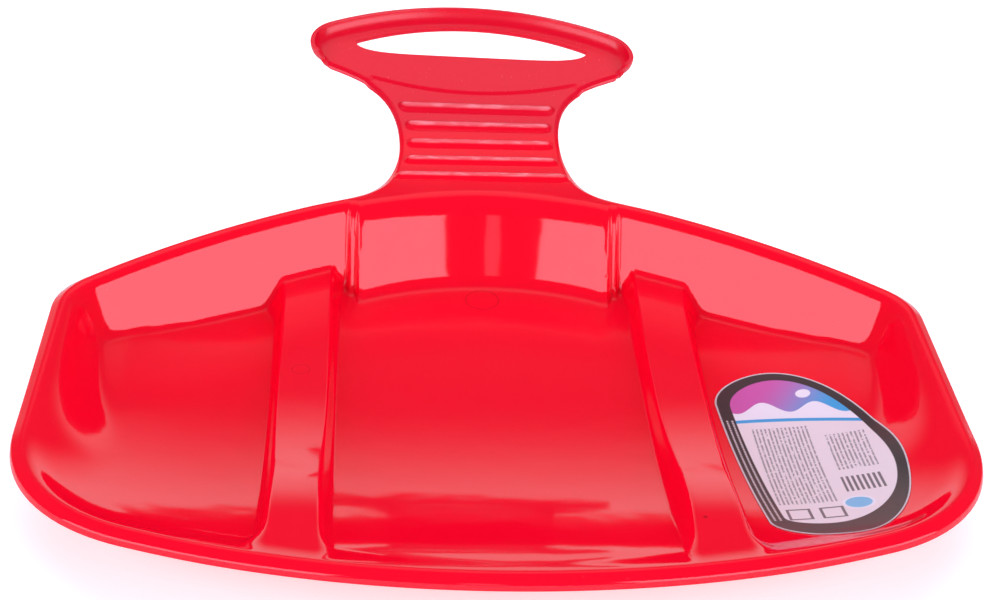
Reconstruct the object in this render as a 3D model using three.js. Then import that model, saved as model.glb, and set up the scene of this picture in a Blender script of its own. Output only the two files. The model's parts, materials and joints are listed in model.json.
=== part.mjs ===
// Snow slider: a wide shallow pan with a neck and a two-hand handle, moulded in one piece,
// and the round-cornered label that is stuck to the floor of the pan.
// Millimetres, +Z up, +Y from the pan to the handle. The origin is on the ground, under the
// middle of the object's plan box.
import * as THREE from "three";
import { mergeVertices } from "three/addons/utils/BufferGeometryUtils.js";

// Pan, in plan. Y = 0 lies under the middle of the floor.
const WALL = 2.6; // thickness of the moulding
const PAN_FRONT = 176; // y of the front of the rim, on the middle line, under the neck
const PAN_REAR = -195; // y of the rear of the rim, on the middle line
const PAN_HALF = 235.5; // half of the width at the rear corners
const PAN_TAPER = 5.2; // how much narrower each half is at the front corners
const TAPER_LENGTH = 124; // over which a side draws in by that much
const REAR_RADIUS = 500;
const REAR_CORNER_RADIUS = 92;
const FRONT_CORNER_RADIUS = 38;
const FRONT_OUTER_RADIUS = 600;
const FRONT_MIDDLE_RADIUS = 190;
const FRONT_MIDDLE_SINE_SHARE = 0.45; // sine of the turn where the middle arc meets the outer ones

// Rim: a flange with a rolled outer edge.
const RIM_FRONT = 50; // height of the flange over the floor, at the neck
const RIM_REAR = 34;
const RIM_REAR_LEVEL = 64; // length at the rear over which the flange keeps that height
const RIM_FRONT_LEVEL = 4;
const ROLL_WIDTH = 6;
const ROLL_DROP = 6.6;
const NECK_ROLL_DROP = 3; // along the neck, where the roll is shallower
const NECK_ROLL_LEAD = 12; // y before the front of the rim where it starts to become so
const NECK_ROLL_RUN = 20; // and past it, where it has

// Floor: flat in the middle, curving up to the rear and, past the ridges, to both sides.
const FLOOR_FLAT_TO = 10; // y where the curve to the rear starts
const FLOOR_REAR_RADIUS = 620;
const FLOOR_SIDE_RADIUS = 335;
const FRONT_RISE_REACH = 114; // from the front of the rim to where the floor starts to rise to it
const FRONT_RISE_RADIUS = 560;

// Wall between flange and floor. The panel between the two pleats leans more than the rest, and
// each side's wall leans over from the steep front to a gentle slope at the rear.
const WALL_INSET = 11.5; // from the outer edge to where flange and wall would meet
const WALL_STEEPNESS_SHARE = 2.5; // drop over run
const REAR_STEEPNESS_SHARE = 0.85;
const SIDE_STEEPNESS_SHARE = 1.35;
const SIDE_FROM = 10; // x past the ridge's outer foot where the side's wall starts
const SIDE_FULL_INSET = 40; // from the pan's side to where it has its own shape
const LEAN_FROM = 60; // y where the sides' walls start to lean over
const LEAN_RUN = 130;
const PANEL_INSET = 17;
const PANEL_STEEPNESS_SHARE = 1.8;
const WALL_TOP_BLEND = 11;
const WALL_FOOT_BLEND = 5.5;
const SIDE_FOOT_BLEND = 27; // at the rear of the sides, where wall and floor make one bowl
const SIDE_BOWL_FROM = 8; // height of the wall at which the bowl starts to show
const SIDE_BOWL_TO = 27;

// Ridges: two raised strips that run along the floor, each with a pleat of the front wall
// beside its inner foot.
const RIDGE_INNER = 81; // x of the inner foot
const RIDGE_WIDTH = 35;
const RIDGE_SIDE = 4.6; // plan width of a sloping side
const RIDGE_HEIGHT = 11;
const RIDGE_REAR_HEIGHT = 15.5;
const RIDGE_RISE_TO = -140; // y where it has that height
const RIDGE_END_BLEND = 5;
const PLEAT_WIDTH = 8;
const PLEAT_GAP = 3; // from a pleat to the ridge

// Neck.
const FLARE_START = 99; // x where the neck's edge leaves the rim
const FLARE_PULL = 26;
const WAIST_HALF = 47.5;
const WAIST_REACH = 42; // y from the front of the rim
const WAIST_PULL = 54;
const SHOULDER_PULL = 45;
const NECK_ROOT_HALF = 64; // half of the width where the neck's own mesh starts
const NECK_RISE_REACH = -16; // y from the front of the rim to where the neck starts to rise
const NECK_RISE_RUN = 90;
const NECK_SLOPE_FROM_DEG = 4;
const NECK_SLOPE_TO_DEG = 16.5;
const RIB_COUNT = 5;
const RIB_REACH = 4; // y from the front of the rim to the first rib
const RIB_PITCH = 16.7;
const RIB_HALF_WIDTH = 3.8;
const RIB_HEIGHT = 2.6;
const RIB_EDGE_GAP = 0.5; // from a rib's end to the rolled edge
const RIB_END_RUN = 4; // length of a rib's rounded end

// Handle, from the shallow step across its foot to the lip along its top.
const STEP_REACH = 83.7; // y from the front of the rim to the middle of the step
const STEP_BOW = 16.5; // how far the step's two ends lie in front of its middle
const STEP_HALF = 75; // half of the width between them
const STEP_RUN = 3;
const STEP_RISE = 1.3;
const OPENING_REACH = 33; // y from the middle of the step to the opening's straight edge
const OPENING_HALF = 72;
const OPENING_TIP_RISE = 10.2; // from the straight edge's middle to the opening's two tips
const OPENING_ARCH_RISE = 17; // from the tips to the middle of the arched edge
const OPENING_EDGE_POWER = 6;
const GRIP_WIDTH = 8; // from the arched edge to the lip, on the middle line
const HANDLE_MARGIN = 24.8; // x from a tip of the opening to the end of the handle
const HANDLE_RADIUS = 198;
const HANDLE_END_RADIUS = 20;
const HANDLE_TIP_RADIUS = 9;
const TIP_TURN_DEG = 63; // how far the tip's arc turns under the end of the handle
const TIP_PULL = 27;
const LIP_HEIGHT = 7.6; // the edge that stands up along the top of the handle
const LIP_RUN = 5; // length of outline over which the rolled edge becomes the lip

// Label, in the right bay.
const LABEL_GAP = 0.7;
const LABEL_THICKNESS = 0.4;
const LABEL_RIDGE_GAP = 2.8; // from the ridge's outer foot to the label's straight edge
const LABEL_SIDE_GAP = 32.5; // from the pan's side to the label's widest place
const LABEL_REAR_GAP = 50; // from the rear of the rim to the label's rear
const LABEL_LENGTH = 186.5;
const LABEL_STRAIGHT_FROM_SHARE = 0.12; // along its length, where the straight edge starts
const LABEL_STRAIGHT_ACROSS_SHARE = 0.085; // and how far across it lies there
const LABEL_STRAIGHT_TO_SHARE = 0.842;
const LABEL_WIDEST_SHARE = 0.445;
const LABEL_REAR_SHARE = 0.525; // across its width, the place of its rearmost point
const LABEL_FRONT_SHARE = 0.347;
const LABEL_ROUNDING_SHARE = 0.52; // of a side, for the handles of a quarter's curve

// Places that follow from these.
const PAN_HALF_FRONT = PAN_HALF - PAN_TAPER;
const RIM_RISE_FROM = PAN_REAR + RIM_REAR_LEVEL;
const RIM_RISE_TO = PAN_FRONT - RIM_FRONT_LEVEL;
const RIDGE_OUTER = RIDGE_INNER + RIDGE_WIDTH;
const PLEAT_OUTER = RIDGE_INNER - PLEAT_GAP;
const PLEAT_INNER = PLEAT_OUTER - PLEAT_WIDTH;
const WAIST_Y = PAN_FRONT + WAIST_REACH;
const NECK_RISE_FROM = PAN_FRONT + NECK_RISE_REACH;
const RIB_FIRST_Y = PAN_FRONT + RIB_REACH;
const STEP_Y = PAN_FRONT + STEP_REACH;
const OPENING_FRONT = STEP_Y + OPENING_REACH;
const OPENING_TOP = OPENING_FRONT + OPENING_TIP_RISE + OPENING_ARCH_RISE;
const HANDLE_TOP = OPENING_TOP + GRIP_WIDTH;
const HANDLE_HALF = OPENING_HALF + HANDLE_MARGIN;
const LABEL_X = RIDGE_OUTER + LABEL_RIDGE_GAP;
const LABEL_WIDTH = PAN_HALF - LABEL_SIDE_GAP - LABEL_X;
const LABEL_REAR = PAN_REAR + LABEL_REAR_GAP;

const RED = 0xe30a1f;
const LABEL_GREY = 0xd8ccd2;
const radians = THREE.MathUtils.degToRad;
const { lerp, smoothstep, clamp } = THREE.MathUtils;

// The greater, or the lesser, of two heights, with the corner between them rounded.
function roundedMax(a, b, blend) {
  const near = Math.max(blend - Math.abs(a - b), 0);
  return Math.max(a, b) + (near * near) / (4 * blend);
}

function roundedMin(a, b, blend) {
  return -roundedMax(-a, -b, blend);
}

// An arc that turns anticlockwise from one bearing of its radius to another, in radians.
function arc(centre, radius, from, to) {
  return new THREE.EllipseCurve(centre.x, centre.y, radius, radius, from, to, to < from);
}

function onArc(centre, radius, bearing) {
  const along = new THREE.Vector2(Math.cos(bearing), Math.sin(bearing));
  return along.multiplyScalar(radius).add(centre);
}

// The right half of the pan's edge, from the rear middle round to the front middle, as the
// arcs and the straight side that it is made of.
function panCurves() {
  const rearCentre = new THREE.Vector2(0, PAN_REAR + REAR_RADIUS);
  const splay = Math.atan2(PAN_TAPER, TAPER_LENGTH);
  const cornerX = PAN_HALF - REAR_CORNER_RADIUS * Math.cos(splay);
  const rearTurn = Math.asin(cornerX / (REAR_RADIUS - REAR_CORNER_RADIUS)) - Math.PI / 2;
  const rearCorner = onArc(rearCentre, REAR_RADIUS - REAR_CORNER_RADIUS, rearTurn);
  const sideRear = onArc(rearCorner, REAR_CORNER_RADIUS, splay);

  const middleCentre = new THREE.Vector2(0, PAN_FRONT - FRONT_MIDDLE_RADIUS);
  const middleTurn = Math.PI / 2 - Math.asin(FRONT_MIDDLE_SINE_SHARE);
  const outerCentre = onArc(middleCentre, FRONT_MIDDLE_RADIUS - FRONT_OUTER_RADIUS, middleTurn);

  // The corner's centre lies on a line beside the straight side, and on a circle about the
  // outer arc's centre.
  const alongSide = new THREE.Vector2(-Math.sin(splay), Math.cos(splay));
  const start = onArc(sideRear, -FRONT_CORNER_RADIUS, splay).sub(outerCentre);
  const reach = FRONT_OUTER_RADIUS - FRONT_CORNER_RADIUS;
  const halfB = start.dot(alongSide);
  const run = -halfB + Math.sqrt(halfB * halfB - start.lengthSq() + reach * reach);
  const frontCorner = start.addScaledVector(alongSide, run).add(outerCentre);
  const sideFront = onArc(frontCorner, FRONT_CORNER_RADIUS, splay);
  const cornerTurn = frontCorner.clone().sub(outerCentre).angle();
  return {
    rear: arc(rearCentre, REAR_RADIUS, -Math.PI / 2, rearTurn),
    rearCorner: arc(rearCorner, REAR_CORNER_RADIUS, rearTurn, splay),
    side: new THREE.LineCurve(sideRear, sideFront),
    frontCorner: arc(frontCorner, FRONT_CORNER_RADIUS, splay, cornerTurn),
    frontOuter: arc(outerCentre, FRONT_OUTER_RADIUS, cornerTurn, middleTurn),
    frontMiddle: arc(middleCentre, FRONT_MIDDLE_RADIUS, middleTurn, Math.PI / 2),
    outerCentre,
    cornerTurn,
  };
}

// The right half of the edge of the neck and the handle, from the rim to the top middle.
function neckCurves(pan) {
  const flareTurn = Math.acos((FLARE_START - pan.outerCentre.x) / FRONT_OUTER_RADIUS);
  const flare = onArc(pan.outerCentre, FRONT_OUTER_RADIUS, flareTurn);
  const flareWay = new THREE.Vector2(-Math.sin(flareTurn), Math.cos(flareTurn));
  const waist = new THREE.Vector2(WAIST_HALF, WAIST_Y);
  const up = new THREE.Vector2(0, 1);

  const topCentre = new THREE.Vector2(0, HANDLE_TOP - HANDLE_RADIUS);
  const endReach = HANDLE_RADIUS - HANDLE_END_RADIUS;
  const endTurn = Math.acos((HANDLE_HALF - HANDLE_END_RADIUS) / endReach);
  const endCentre = onArc(topCentre, endReach, endTurn);
  const tipCentre = endCentre.clone();
  tipCentre.x = HANDLE_HALF - HANDLE_TIP_RADIUS;
  const tipTurn = -radians(TIP_TURN_DEG);
  const tip = onArc(tipCentre, HANDLE_TIP_RADIUS, tipTurn);
  const tipWay = new THREE.Vector2(-Math.sin(tipTurn), Math.cos(tipTurn));
  return {
    frontOuter: arc(pan.outerCentre, FRONT_OUTER_RADIUS, pan.cornerTurn, flareTurn),
    flare: new THREE.CubicBezierCurve(
      flare,
      flare.clone().addScaledVector(flareWay, FLARE_PULL),
      waist.clone().addScaledVector(up, -WAIST_PULL),
      waist,
    ),
    shoulder: new THREE.CubicBezierCurve(
      waist,
      waist.clone().addScaledVector(up, SHOULDER_PULL),
      tip.clone().addScaledVector(tipWay, -TIP_PULL),
      tip,
    ),
    tip: arc(tipCentre, HANDLE_TIP_RADIUS, tipTurn, 0),
    end: arc(endCentre, HANDLE_END_RADIUS, 0, endTurn),
    top: arc(topCentre, HANDLE_RADIUS, endTurn, Math.PI / 2),
  };
}

const pan = panCurves();
const neck = neckCurves(pan);

// Points along the whole pan's edge, as if it had no neck, for distances to it.
const EDGE_STEPS = 40;
const panEdge = [pan.rear, pan.rearCorner, pan.side, pan.frontCorner, pan.frontOuter, pan.frontMiddle]
  .flatMap((curve) => curve.getPoints(EDGE_STEPS))
  .filter((p, i, all) => i === 0 || p.distanceTo(all[i - 1]) > Number.EPSILON);

function distanceToPanEdge(x, y) {
  const here = new THREE.Vector2(Math.abs(x), y);
  let least = Infinity;
  for (let i = 1; i < panEdge.length; i++) {
    const a = panEdge[i - 1];
    const along = panEdge[i].clone().sub(a);
    const share = clamp(here.clone().sub(a).dot(along) / along.lengthSq(), 0, 1);
    least = Math.min(least, here.distanceTo(a.clone().addScaledVector(along, share)));
  }
  return least;
}

// Height of the flange, and past the rim of the neck and the handle, over the flat floor.
function plateHeight(y) {
  const rim = lerp(RIM_REAR, RIM_FRONT, smoothstep(y, RIM_RISE_FROM, RIM_RISE_TO));
  const from = Math.tan(radians(NECK_SLOPE_FROM_DEG));
  const to = Math.tan(radians(NECK_SLOPE_TO_DEG));
  const curved = clamp(y - NECK_RISE_FROM, 0, NECK_RISE_RUN);
  const straight = Math.max(y - NECK_RISE_FROM - NECK_RISE_RUN, 0);
  const bend = ((to - from) * curved * curved) / (2 * NECK_RISE_RUN);
  return rim + from * curved + bend + to * straight;
}

// Height of the floor, with the two ridges. At the rear a ridge ends level with the flange.
// The y of the front of the rim at a place across it.
function rimFront(x) {
  const shift = FRONT_MIDDLE_RADIUS - FRONT_OUTER_RADIUS;
  const reach = Math.min(Math.abs(x), PAN_HALF_FRONT - FRONT_CORNER_RADIUS);
  const centre = PAN_FRONT - FRONT_MIDDLE_RADIUS;
  if (reach < FRONT_MIDDLE_RADIUS * FRONT_MIDDLE_SINE_SHARE) {
    return centre + Math.sqrt(FRONT_MIDDLE_RADIUS ** 2 - reach ** 2);
  }
  const cosine = Math.sqrt(1 - FRONT_MIDDLE_SINE_SHARE ** 2);
  const across = reach - shift * FRONT_MIDDLE_SINE_SHARE;
  return centre + shift * cosine + Math.sqrt(FRONT_OUTER_RADIUS ** 2 - across ** 2);
}

// Height of the floor without the ridges.
function plainFloor(x, y) {
  const back = Math.max(FLOOR_FLAT_TO - y, 0);
  const out = Math.max(Math.abs(x) - RIDGE_OUTER, 0);
  const ahead = Math.max(y - rimFront(x) + FRONT_RISE_REACH, 0);
  const sides = (back * back) / (2 * FLOOR_REAR_RADIUS) + (out * out) / (2 * FLOOR_SIDE_RADIUS);
  return sides + (ahead * ahead) / (2 * FRONT_RISE_RADIUS);
}

function floorHeight(x, y) {
  const plain = plainFloor(x, y);
  const inner = clamp((Math.abs(x) - RIDGE_INNER) / RIDGE_SIDE, 0, 1);
  const outer = clamp((RIDGE_OUTER - Math.abs(x)) / RIDGE_SIDE, 0, 1);
  const height = lerp(RIDGE_HEIGHT, RIDGE_REAR_HEIGHT, smoothstep(-y, 0, -RIDGE_RISE_TO));
  const raised = roundedMin(plain + height, plateHeight(y), RIDGE_END_BLEND);
  return Math.max(plain, lerp(plain, raised, Math.min(inner, outer)));
}

function sideShare(x) {
  return smoothstep(Math.abs(x), RIDGE_OUTER + SIDE_FROM, PAN_HALF - SIDE_FULL_INSET);
}

function wallHeight(x, y) {
  const outward = smoothstep(Math.abs(x), PLEAT_INNER, PLEAT_OUTER);
  const front = y > FLOOR_FLAT_TO ? 1 : 0;
  const panel = (1 - outward) * front;
  const inset = lerp(WALL_INSET, PANEL_INSET, panel);
  const lean = smoothstep(LEAN_FROM - y, 0, LEAN_RUN);
  const leant = lerp(REAR_STEEPNESS_SHARE, SIDE_STEEPNESS_SHARE, sideShare(x));
  const outer = lerp(WALL_STEEPNESS_SHARE, leant, lean);
  const steepness = lerp(outer, PANEL_STEEPNESS_SHARE, panel);
  const level = plateHeight(y);
  return level - (distanceToPanEdge(x, y) - inset) * steepness;
}

// Height of the moulding's upper face, without its ribs and its rolled edge.
function faceHeight(x, y) {
  const level = plateHeight(y) + stepHeight(x, y);
  if (y > PAN_FRONT - ROLL_WIDTH) return level;
  const lean = smoothstep(LEAN_FROM - y, 0, LEAN_RUN);
  const left = smoothstep(level - plainFloor(x, y), SIDE_BOWL_FROM, SIDE_BOWL_TO);
  const foot = lerp(WALL_FOOT_BLEND, SIDE_FOOT_BLEND, lean * sideShare(x) * left);
  return roundedMin(level, roundedMax(floorHeight(x, y), wallHeight(x, y), foot), WALL_TOP_BLEND);
}

// The y of the handle's step beside the middle line, and how far the face has risen past it.
function stepLine(x) {
  return STEP_Y + STEP_BOW * (x / STEP_HALF) ** 2;
}

function stepHeight(x, y) {
  return STEP_RISE * smoothstep(y, stepLine(x), stepLine(x) + STEP_RUN);
}

// The right half of the whole edge, anticlockwise from the rear middle to the top middle, and
// the length along it at which each of its curves starts.
const edgeCurves = {
  rear: pan.rear,
  rearCorner: pan.rearCorner,
  side: pan.side,
  frontCorner: pan.frontCorner,
  frontOuter: neck.frontOuter,
  flare: neck.flare,
  shoulder: neck.shoulder,
  tip: neck.tip,
  end: neck.end,
  top: neck.top,
};
const edge = new THREE.CurvePath();
const starts = {};
for (const [name, curve] of Object.entries(edgeCurves)) {
  starts[name] = edge.curves.length ? edge.getLength() : 0;
  edge.add(curve);
  edge.updateArcLengths();
}
const EDGE_LENGTH = edge.getLength();

// A place on the right half of the edge, drawn in by a distance, as a point in plan.
function drawnIn(length, distance) {
  const t = length / EDGE_LENGTH;
  const way = edge.getTangent(t);
  const point = edge.getPoint(t).addScaledVector(new THREE.Vector2(way.y, -way.x), -distance);
  if (t === 0 || t === 1) point.x = 0;
  return point;
}

// The length, between two others, at which the drawn-in edge has a value of x or y.
const HALVINGS = 30;
function lengthWhere(axis, value, from, to) {
  const rising = drawnIn(to, ROLL_WIDTH)[axis] > drawnIn(from, ROLL_WIDTH)[axis];
  let low = from;
  let high = to;
  for (let i = 0; i < HALVINGS; i++) {
    const middle = (low + high) / 2;
    if (drawnIn(middle, ROLL_WIDTH)[axis] < value === rising) low = middle;
    else high = middle;
  }
  return (low + high) / 2;
}

// Values at even steps from one to another, with both of them.
function evenly(from, to, steps) {
  return Array.from({ length: steps + 1 }, (_, i) => lerp(from, to, i / steps));
}

// Distances from the pan's edge of the lines that follow a wall from the flange to the floor.
function wallLines(inset, steepness, depth) {
  const top = WALL_TOP_BLEND / steepness;
  const foot = WALL_FOOT_BLEND / steepness;
  const end = inset + depth / steepness;
  return [...evenly(inset - top, inset + top, 3), ...evenly(end - foot, end + foot, 3)];
}

// The mesh of the pan's inside, within the rolled edge. Its lines along Y are straight as far
// as the ridges' outer feet, and run out to the corners past them.
const ROOT_X = NECK_ROOT_HALF - ROLL_WIDTH;
const RIB_X = ROOT_X - RIB_EDGE_GAP;
const columnX = [
  ...evenly(0, RIB_X - RIB_END_RUN, 3),
  RIB_X,
  ROOT_X,
  (ROOT_X + PLEAT_INNER) / 2,
  ...evenly(PLEAT_INNER, PLEAT_OUTER, 2),
  RIDGE_INNER,
  RIDGE_INNER + RIDGE_SIDE,
  (RIDGE_INNER + RIDGE_OUTER) / 2,
  RIDGE_OUTER - RIDGE_SIDE,
  RIDGE_OUTER,
];
const LAST_STRAIGHT = columnX.length - 1;
const ROOT_COLUMN = columnX.indexOf(ROOT_X);
const FLOOR_COLUMNS = 9;
const FLOOR_ROWS = 15;
const REAR_ROWS = 5;
const REAR_STEP = 2.4; // growth of the rows' distances from the rear edge

const rearCornerLength = (starts.rearCorner + starts.side) / 2;
const frontCornerLength = (starts.frontCorner + starts.frontOuter) / 2;

// Lengths along the edge from a corner to the lines that end there, nearest first.
const sideWall = wallLines(WALL_INSET, WALL_STEEPNESS_SHARE, RIM_REAR - RIDGE_HEIGHT);
const besideCorner = sideWall.map((distance) => distance - ROLL_WIDTH);
const behindCorner = wallLines(WALL_INSET, WALL_STEEPNESS_SHARE, RIM_FRONT).map(
  (distance) => distance - ROLL_WIDTH,
);
const aheadOfCorner = Array.from({ length: REAR_ROWS }, (_, j) => (REAR_STEP * (j + 1) * (j + 2)) / 2);

const rearStraight = columnX.map((x) => (x > 0 ? lengthWhere("x", x, 0, starts.side) : 0));
const frontStraight = columnX.map((x) =>
  x < ROOT_X ? null : lengthWhere("x", x, frontCornerLength, starts.shoulder),
);
const rearSpan = rearCornerLength - rearStraight[LAST_STRAIGHT];
const frontSpan = frontStraight[LAST_STRAIGHT] - frontCornerLength;

// The lengths from the last straight line to the corner, for a span of edge.
function outerLengths(span) {
  const wallEnd = besideCorner[besideCorner.length - 1];
  const floor = evenly(span, wallEnd, FLOOR_COLUMNS + 1).slice(1);
  return [...floor, ...besideCorner.slice(0, -1).reverse(), 0];
}
const rearLengths = [
  ...rearStraight,
  ...outerLengths(rearSpan).map((length) => rearCornerLength - length),
];
const frontLengths = [
  ...frontStraight,
  ...outerLengths(frontSpan).map((length) => frontCornerLength + length),
];
const LAST_COLUMN = rearLengths.length - 1;

// Lengths of the side's places, from the rear corner to the front one.
const sideLengths = [
  rearCornerLength,
  ...aheadOfCorner.map((length) => rearCornerLength + length),
  ...evenly(
    rearCornerLength + aheadOfCorner[REAR_ROWS - 1],
    frontCornerLength - behindCorner[behindCorner.length - 1],
    FLOOR_ROWS,
  ).slice(1, -1),
  ...behindCorner.map((length) => frontCornerLength - length).reverse(),
  frontCornerLength,
];
const LAST_ROW = sideLengths.length - 1;

const rootY = drawnIn(frontStraight[ROOT_COLUMN], ROLL_WIDTH).y;

// The y behind a last one where a line along Y is at a distance from the pan's front edge.
function yAtDistance(x, last, distance) {
  let low = 0;
  let high = last;
  for (let i = 0; i < HALVINGS; i++) {
    const middle = (low + high) / 2;
    if (distanceToPanEdge(x, middle) > distance) low = middle;
    else high = middle;
  }
  return (low + high) / 2;
}

// The y values of a straight line's places, from the rear to the front.
function straightRows(i) {
  const x = columnX[i];
  const rear = drawnIn(rearLengths[i], ROLL_WIDTH).y;
  const outward = smoothstep(x, PLEAT_INNER, PLEAT_OUTER);
  const inset = lerp(PANEL_INSET, WALL_INSET, outward);
  const steepness = lerp(PANEL_STEEPNESS_SHARE, WALL_STEEPNESS_SHARE, outward);
  const depth = RIM_FRONT - floorHeight(x, FLOOR_FLAT_TO);
  const last = x < ROOT_X ? rootY : drawnIn(frontLengths[i], ROLL_WIDTH).y;
  const lines = wallLines(inset, steepness, depth);
  const front = lines.map((distance) => yAtDistance(x, last, distance));
  const lastRear = rear + aheadOfCorner[REAR_ROWS - 1];
  return [
    rear,
    ...aheadOfCorner.map((length) => rear + length),
    ...evenly(lastRear, front[front.length - 1], FLOOR_ROWS).slice(1, -1),
    ...front.reverse(),
    last,
  ];
}

// Shares of a list's own way from its first value to its last.
function sharesOf(values) {
  const first = values[0];
  return values.map((value) => (value - first) / (values[values.length - 1] - first));
}

// The places of the pan's mesh, as points in plan, by column and row.
function panPlaces() {
  const straight = columnX.map((x, i) => straightRows(i).map((y) => new THREE.Vector2(x, y)));
  const start = straight[LAST_STRAIGHT];
  const side = sideLengths.map((length) => drawnIn(length, ROLL_WIDTH));
  const outer = (lengths) => lengths.slice(LAST_STRAIGHT);
  const rear = outer(rearLengths).map((length) => drawnIn(length, ROLL_WIDTH));
  const front = outer(frontLengths).map((length) => drawnIn(length, ROLL_WIDTH));
  const rearShares = sharesOf(outer(rearLengths));
  const frontShares = sharesOf(outer(frontLengths));
  const startShares = sharesOf(start.map((point) => point.y));
  const sideShares = sharesOf(sideLengths);
  const last = rear.length - 1;

  // A patch between the last straight line, the side, the rear and the front.
  const patch = rear.map((_, i) =>
    side.map((_, j) => {
      const du = frontShares[i] - rearShares[i];
      const dv = sideShares[j] - startShares[j];
      const u = (rearShares[i] + du * startShares[j]) / (1 - du * dv);
      const v = startShares[j] + dv * u;
      const point = new THREE.Vector2();
      point.addScaledVector(rear[i], 1 - v).addScaledVector(front[i], v);
      point.addScaledVector(start[j], 1 - u).addScaledVector(side[j], u);
      point.addScaledVector(rear[0], -(1 - u) * (1 - v)).addScaledVector(front[0], -(1 - u) * v);
      return point.addScaledVector(rear[last], -u * (1 - v)).addScaledVector(front[last], -u * v);
    }),
  );
  return [...straight, ...patch.slice(1)];
}

// The rows of the neck over the pan's mesh. Each goes from the middle line to the drawn-in
// edge, and has the columns that end at the neck's root.
const ribRows = Array.from({ length: RIB_COUNT }, (_, i) => RIB_FIRST_Y + i * RIB_PITCH).flatMap(
  (y) => evenly(y - RIB_HALF_WIDTH, y + RIB_HALF_WIDTH, 4),
);

function neckRow(length, middleY, power) {
  const end = drawnIn(length, ROLL_WIDTH);
  const inner = end.x - RIB_EDGE_GAP;
  return [...evenly(0, inner - RIB_END_RUN, 3), inner, end.x].map(
    (x) => new THREE.Vector2(x, lerp(middleY, end.y, (x / end.x) ** power)),
  );
}

const lengthAtY = (y) => lengthWhere("y", y, frontStraight[ROOT_COLUMN], starts.end);
const ribLengths = ribRows.map(lengthAtY);
const stepRise = (x) => stepLine(x) - STEP_Y;
const stepLengths = [0, STEP_RUN].map((run) => lengthAtY(STEP_Y + stepRise(STEP_HALF) + run));
const SHOULDER_ROWS = 4;
const shoulderLengths = evenly(stepLengths[1], starts.end, SHOULDER_ROWS).slice(1);

// The row on the opening's straight edge, and past its tip to the end of the handle.
function openingRow() {
  const end = drawnIn(starts.end, ROLL_WIDTH);
  const tip = new THREE.Vector2(OPENING_HALF, OPENING_FRONT + OPENING_TIP_RISE);
  const straight = evenly(0, OPENING_HALF, 3).map((x) => {
    const share = (x / OPENING_HALF) ** OPENING_EDGE_POWER;
    return new THREE.Vector2(x, OPENING_FRONT + OPENING_TIP_RISE * share);
  });
  return [...straight, tip.clone().lerp(end, 1 / 2), end];
}

function neckPlaces() {
  const rows = [];
  ribRows.forEach((y, i) => rows.push(neckRow(ribLengths[i], y, 1)));
  [0, STEP_RUN].forEach((run, i) => rows.push(neckRow(stepLengths[i], STEP_Y + run, 2)));
  const from = rows[rows.length - 1];
  const to = openingRow();
  shoulderLengths.forEach((length, i) => {
    const share = (i + 1) / SHOULDER_ROWS;
    const row = from.map((point, column) => point.clone().lerp(to[column], share));
    const shift = drawnIn(length, ROLL_WIDTH).sub(row[row.length - 1]);
    rows.push(row.map((point) => point.addScaledVector(shift, (point.x / row[row.length - 1].x) ** 3)));
  });
  return rows;
}

// The grip over the opening, from its end to the middle line.
const GRIP_STEPS = 8;
const gripLengths = evenly(starts.end, EDGE_LENGTH, GRIP_STEPS);

function gripPlaces() {
  const square = OPENING_HALF ** 2 + OPENING_ARCH_RISE ** 2;
  const radius = square / (2 * OPENING_ARCH_RISE);
  const turn = Math.asin(OPENING_HALF / radius);
  const top = OPENING_FRONT + OPENING_TIP_RISE + OPENING_ARCH_RISE;
  return gripLengths.map((length, i) => {
    const bearing = turn * (1 - i / GRIP_STEPS);
    const inner = new THREE.Vector2(
      radius * Math.sin(bearing),
      top - radius * (1 - Math.cos(bearing)),
    );
    return evenly(0, 1, 2).map((share) => inner.clone().lerp(drawnIn(length, ROLL_WIDTH), share));
  });
}

// The rolled edge. Past the tips of the handle it turns up instead, as the lip.
const ROLL_STEPS = 2;

function rollPlaces(length) {
  const inner = drawnIn(length, ROLL_WIDTH);
  const onNeck = smoothstep(inner.y, PAN_FRONT - NECK_ROLL_LEAD, PAN_FRONT + NECK_ROLL_RUN);
  const drop = lerp(ROLL_DROP, NECK_ROLL_DROP, onNeck);
  const rise = lerp(-drop, LIP_HEIGHT, smoothstep(length, starts.tip - LIP_RUN, starts.tip));
  const base = faceHeight(inner.x, inner.y) - plateHeight(inner.y);
  return evenly(0, Math.PI / 2, ROLL_STEPS).map((turn) => {
    const point = drawnIn(length, ROLL_WIDTH * (1 - Math.sin(turn)));
    const height = base + plateHeight(point.y) + rise * (1 - Math.cos(turn));
    return new THREE.Vector3(point.x, point.y, height);
  });
}

// Height of a rib at a place: half an ellipse across it, rounded off at both ends.
function ribHeight(x, y) {
  const index = Math.round((y - RIB_FIRST_Y) / RIB_PITCH);
  const off = (y - RIB_FIRST_Y - index * RIB_PITCH) / RIB_HALF_WIDTH;
  if (index < 0 || index >= RIB_COUNT || Math.abs(off) >= 1) return 0;
  const end = drawnIn(lengthAtY(y), ROLL_WIDTH).x - RIB_EDGE_GAP;
  const share = clamp((end - Math.abs(x)) / RIB_END_RUN, 0, 1);
  return RIB_HEIGHT * Math.sqrt(1 - off * off) * share;
}

// Adds the faces of a net of points as triangles that face up, and their mirror images.
function addNet(faces, net) {
  const cells = [];
  for (let i = 1; i < net.length; i++) {
    for (let j = 1; j < net[i].length; j++) {
      cells.push([net[i - 1][j - 1], net[i][j - 1], net[i][j], net[i - 1][j]]);
    }
  }
  const turn = cells.reduce((sum, cell) => sum + THREE.ShapeUtils.area(cell), 0);
  const mirror = (v) => new THREE.Vector3(-v.x, v.y, v.z);
  for (const cell of cells) {
    const [p, q, r, s] = turn > 0 ? cell : cell.reverse();
    faces.push(p, q, r, p, r, s);
    faces.push(...[r, q, p, s, r, p].map(mirror));
  }
}

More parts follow.
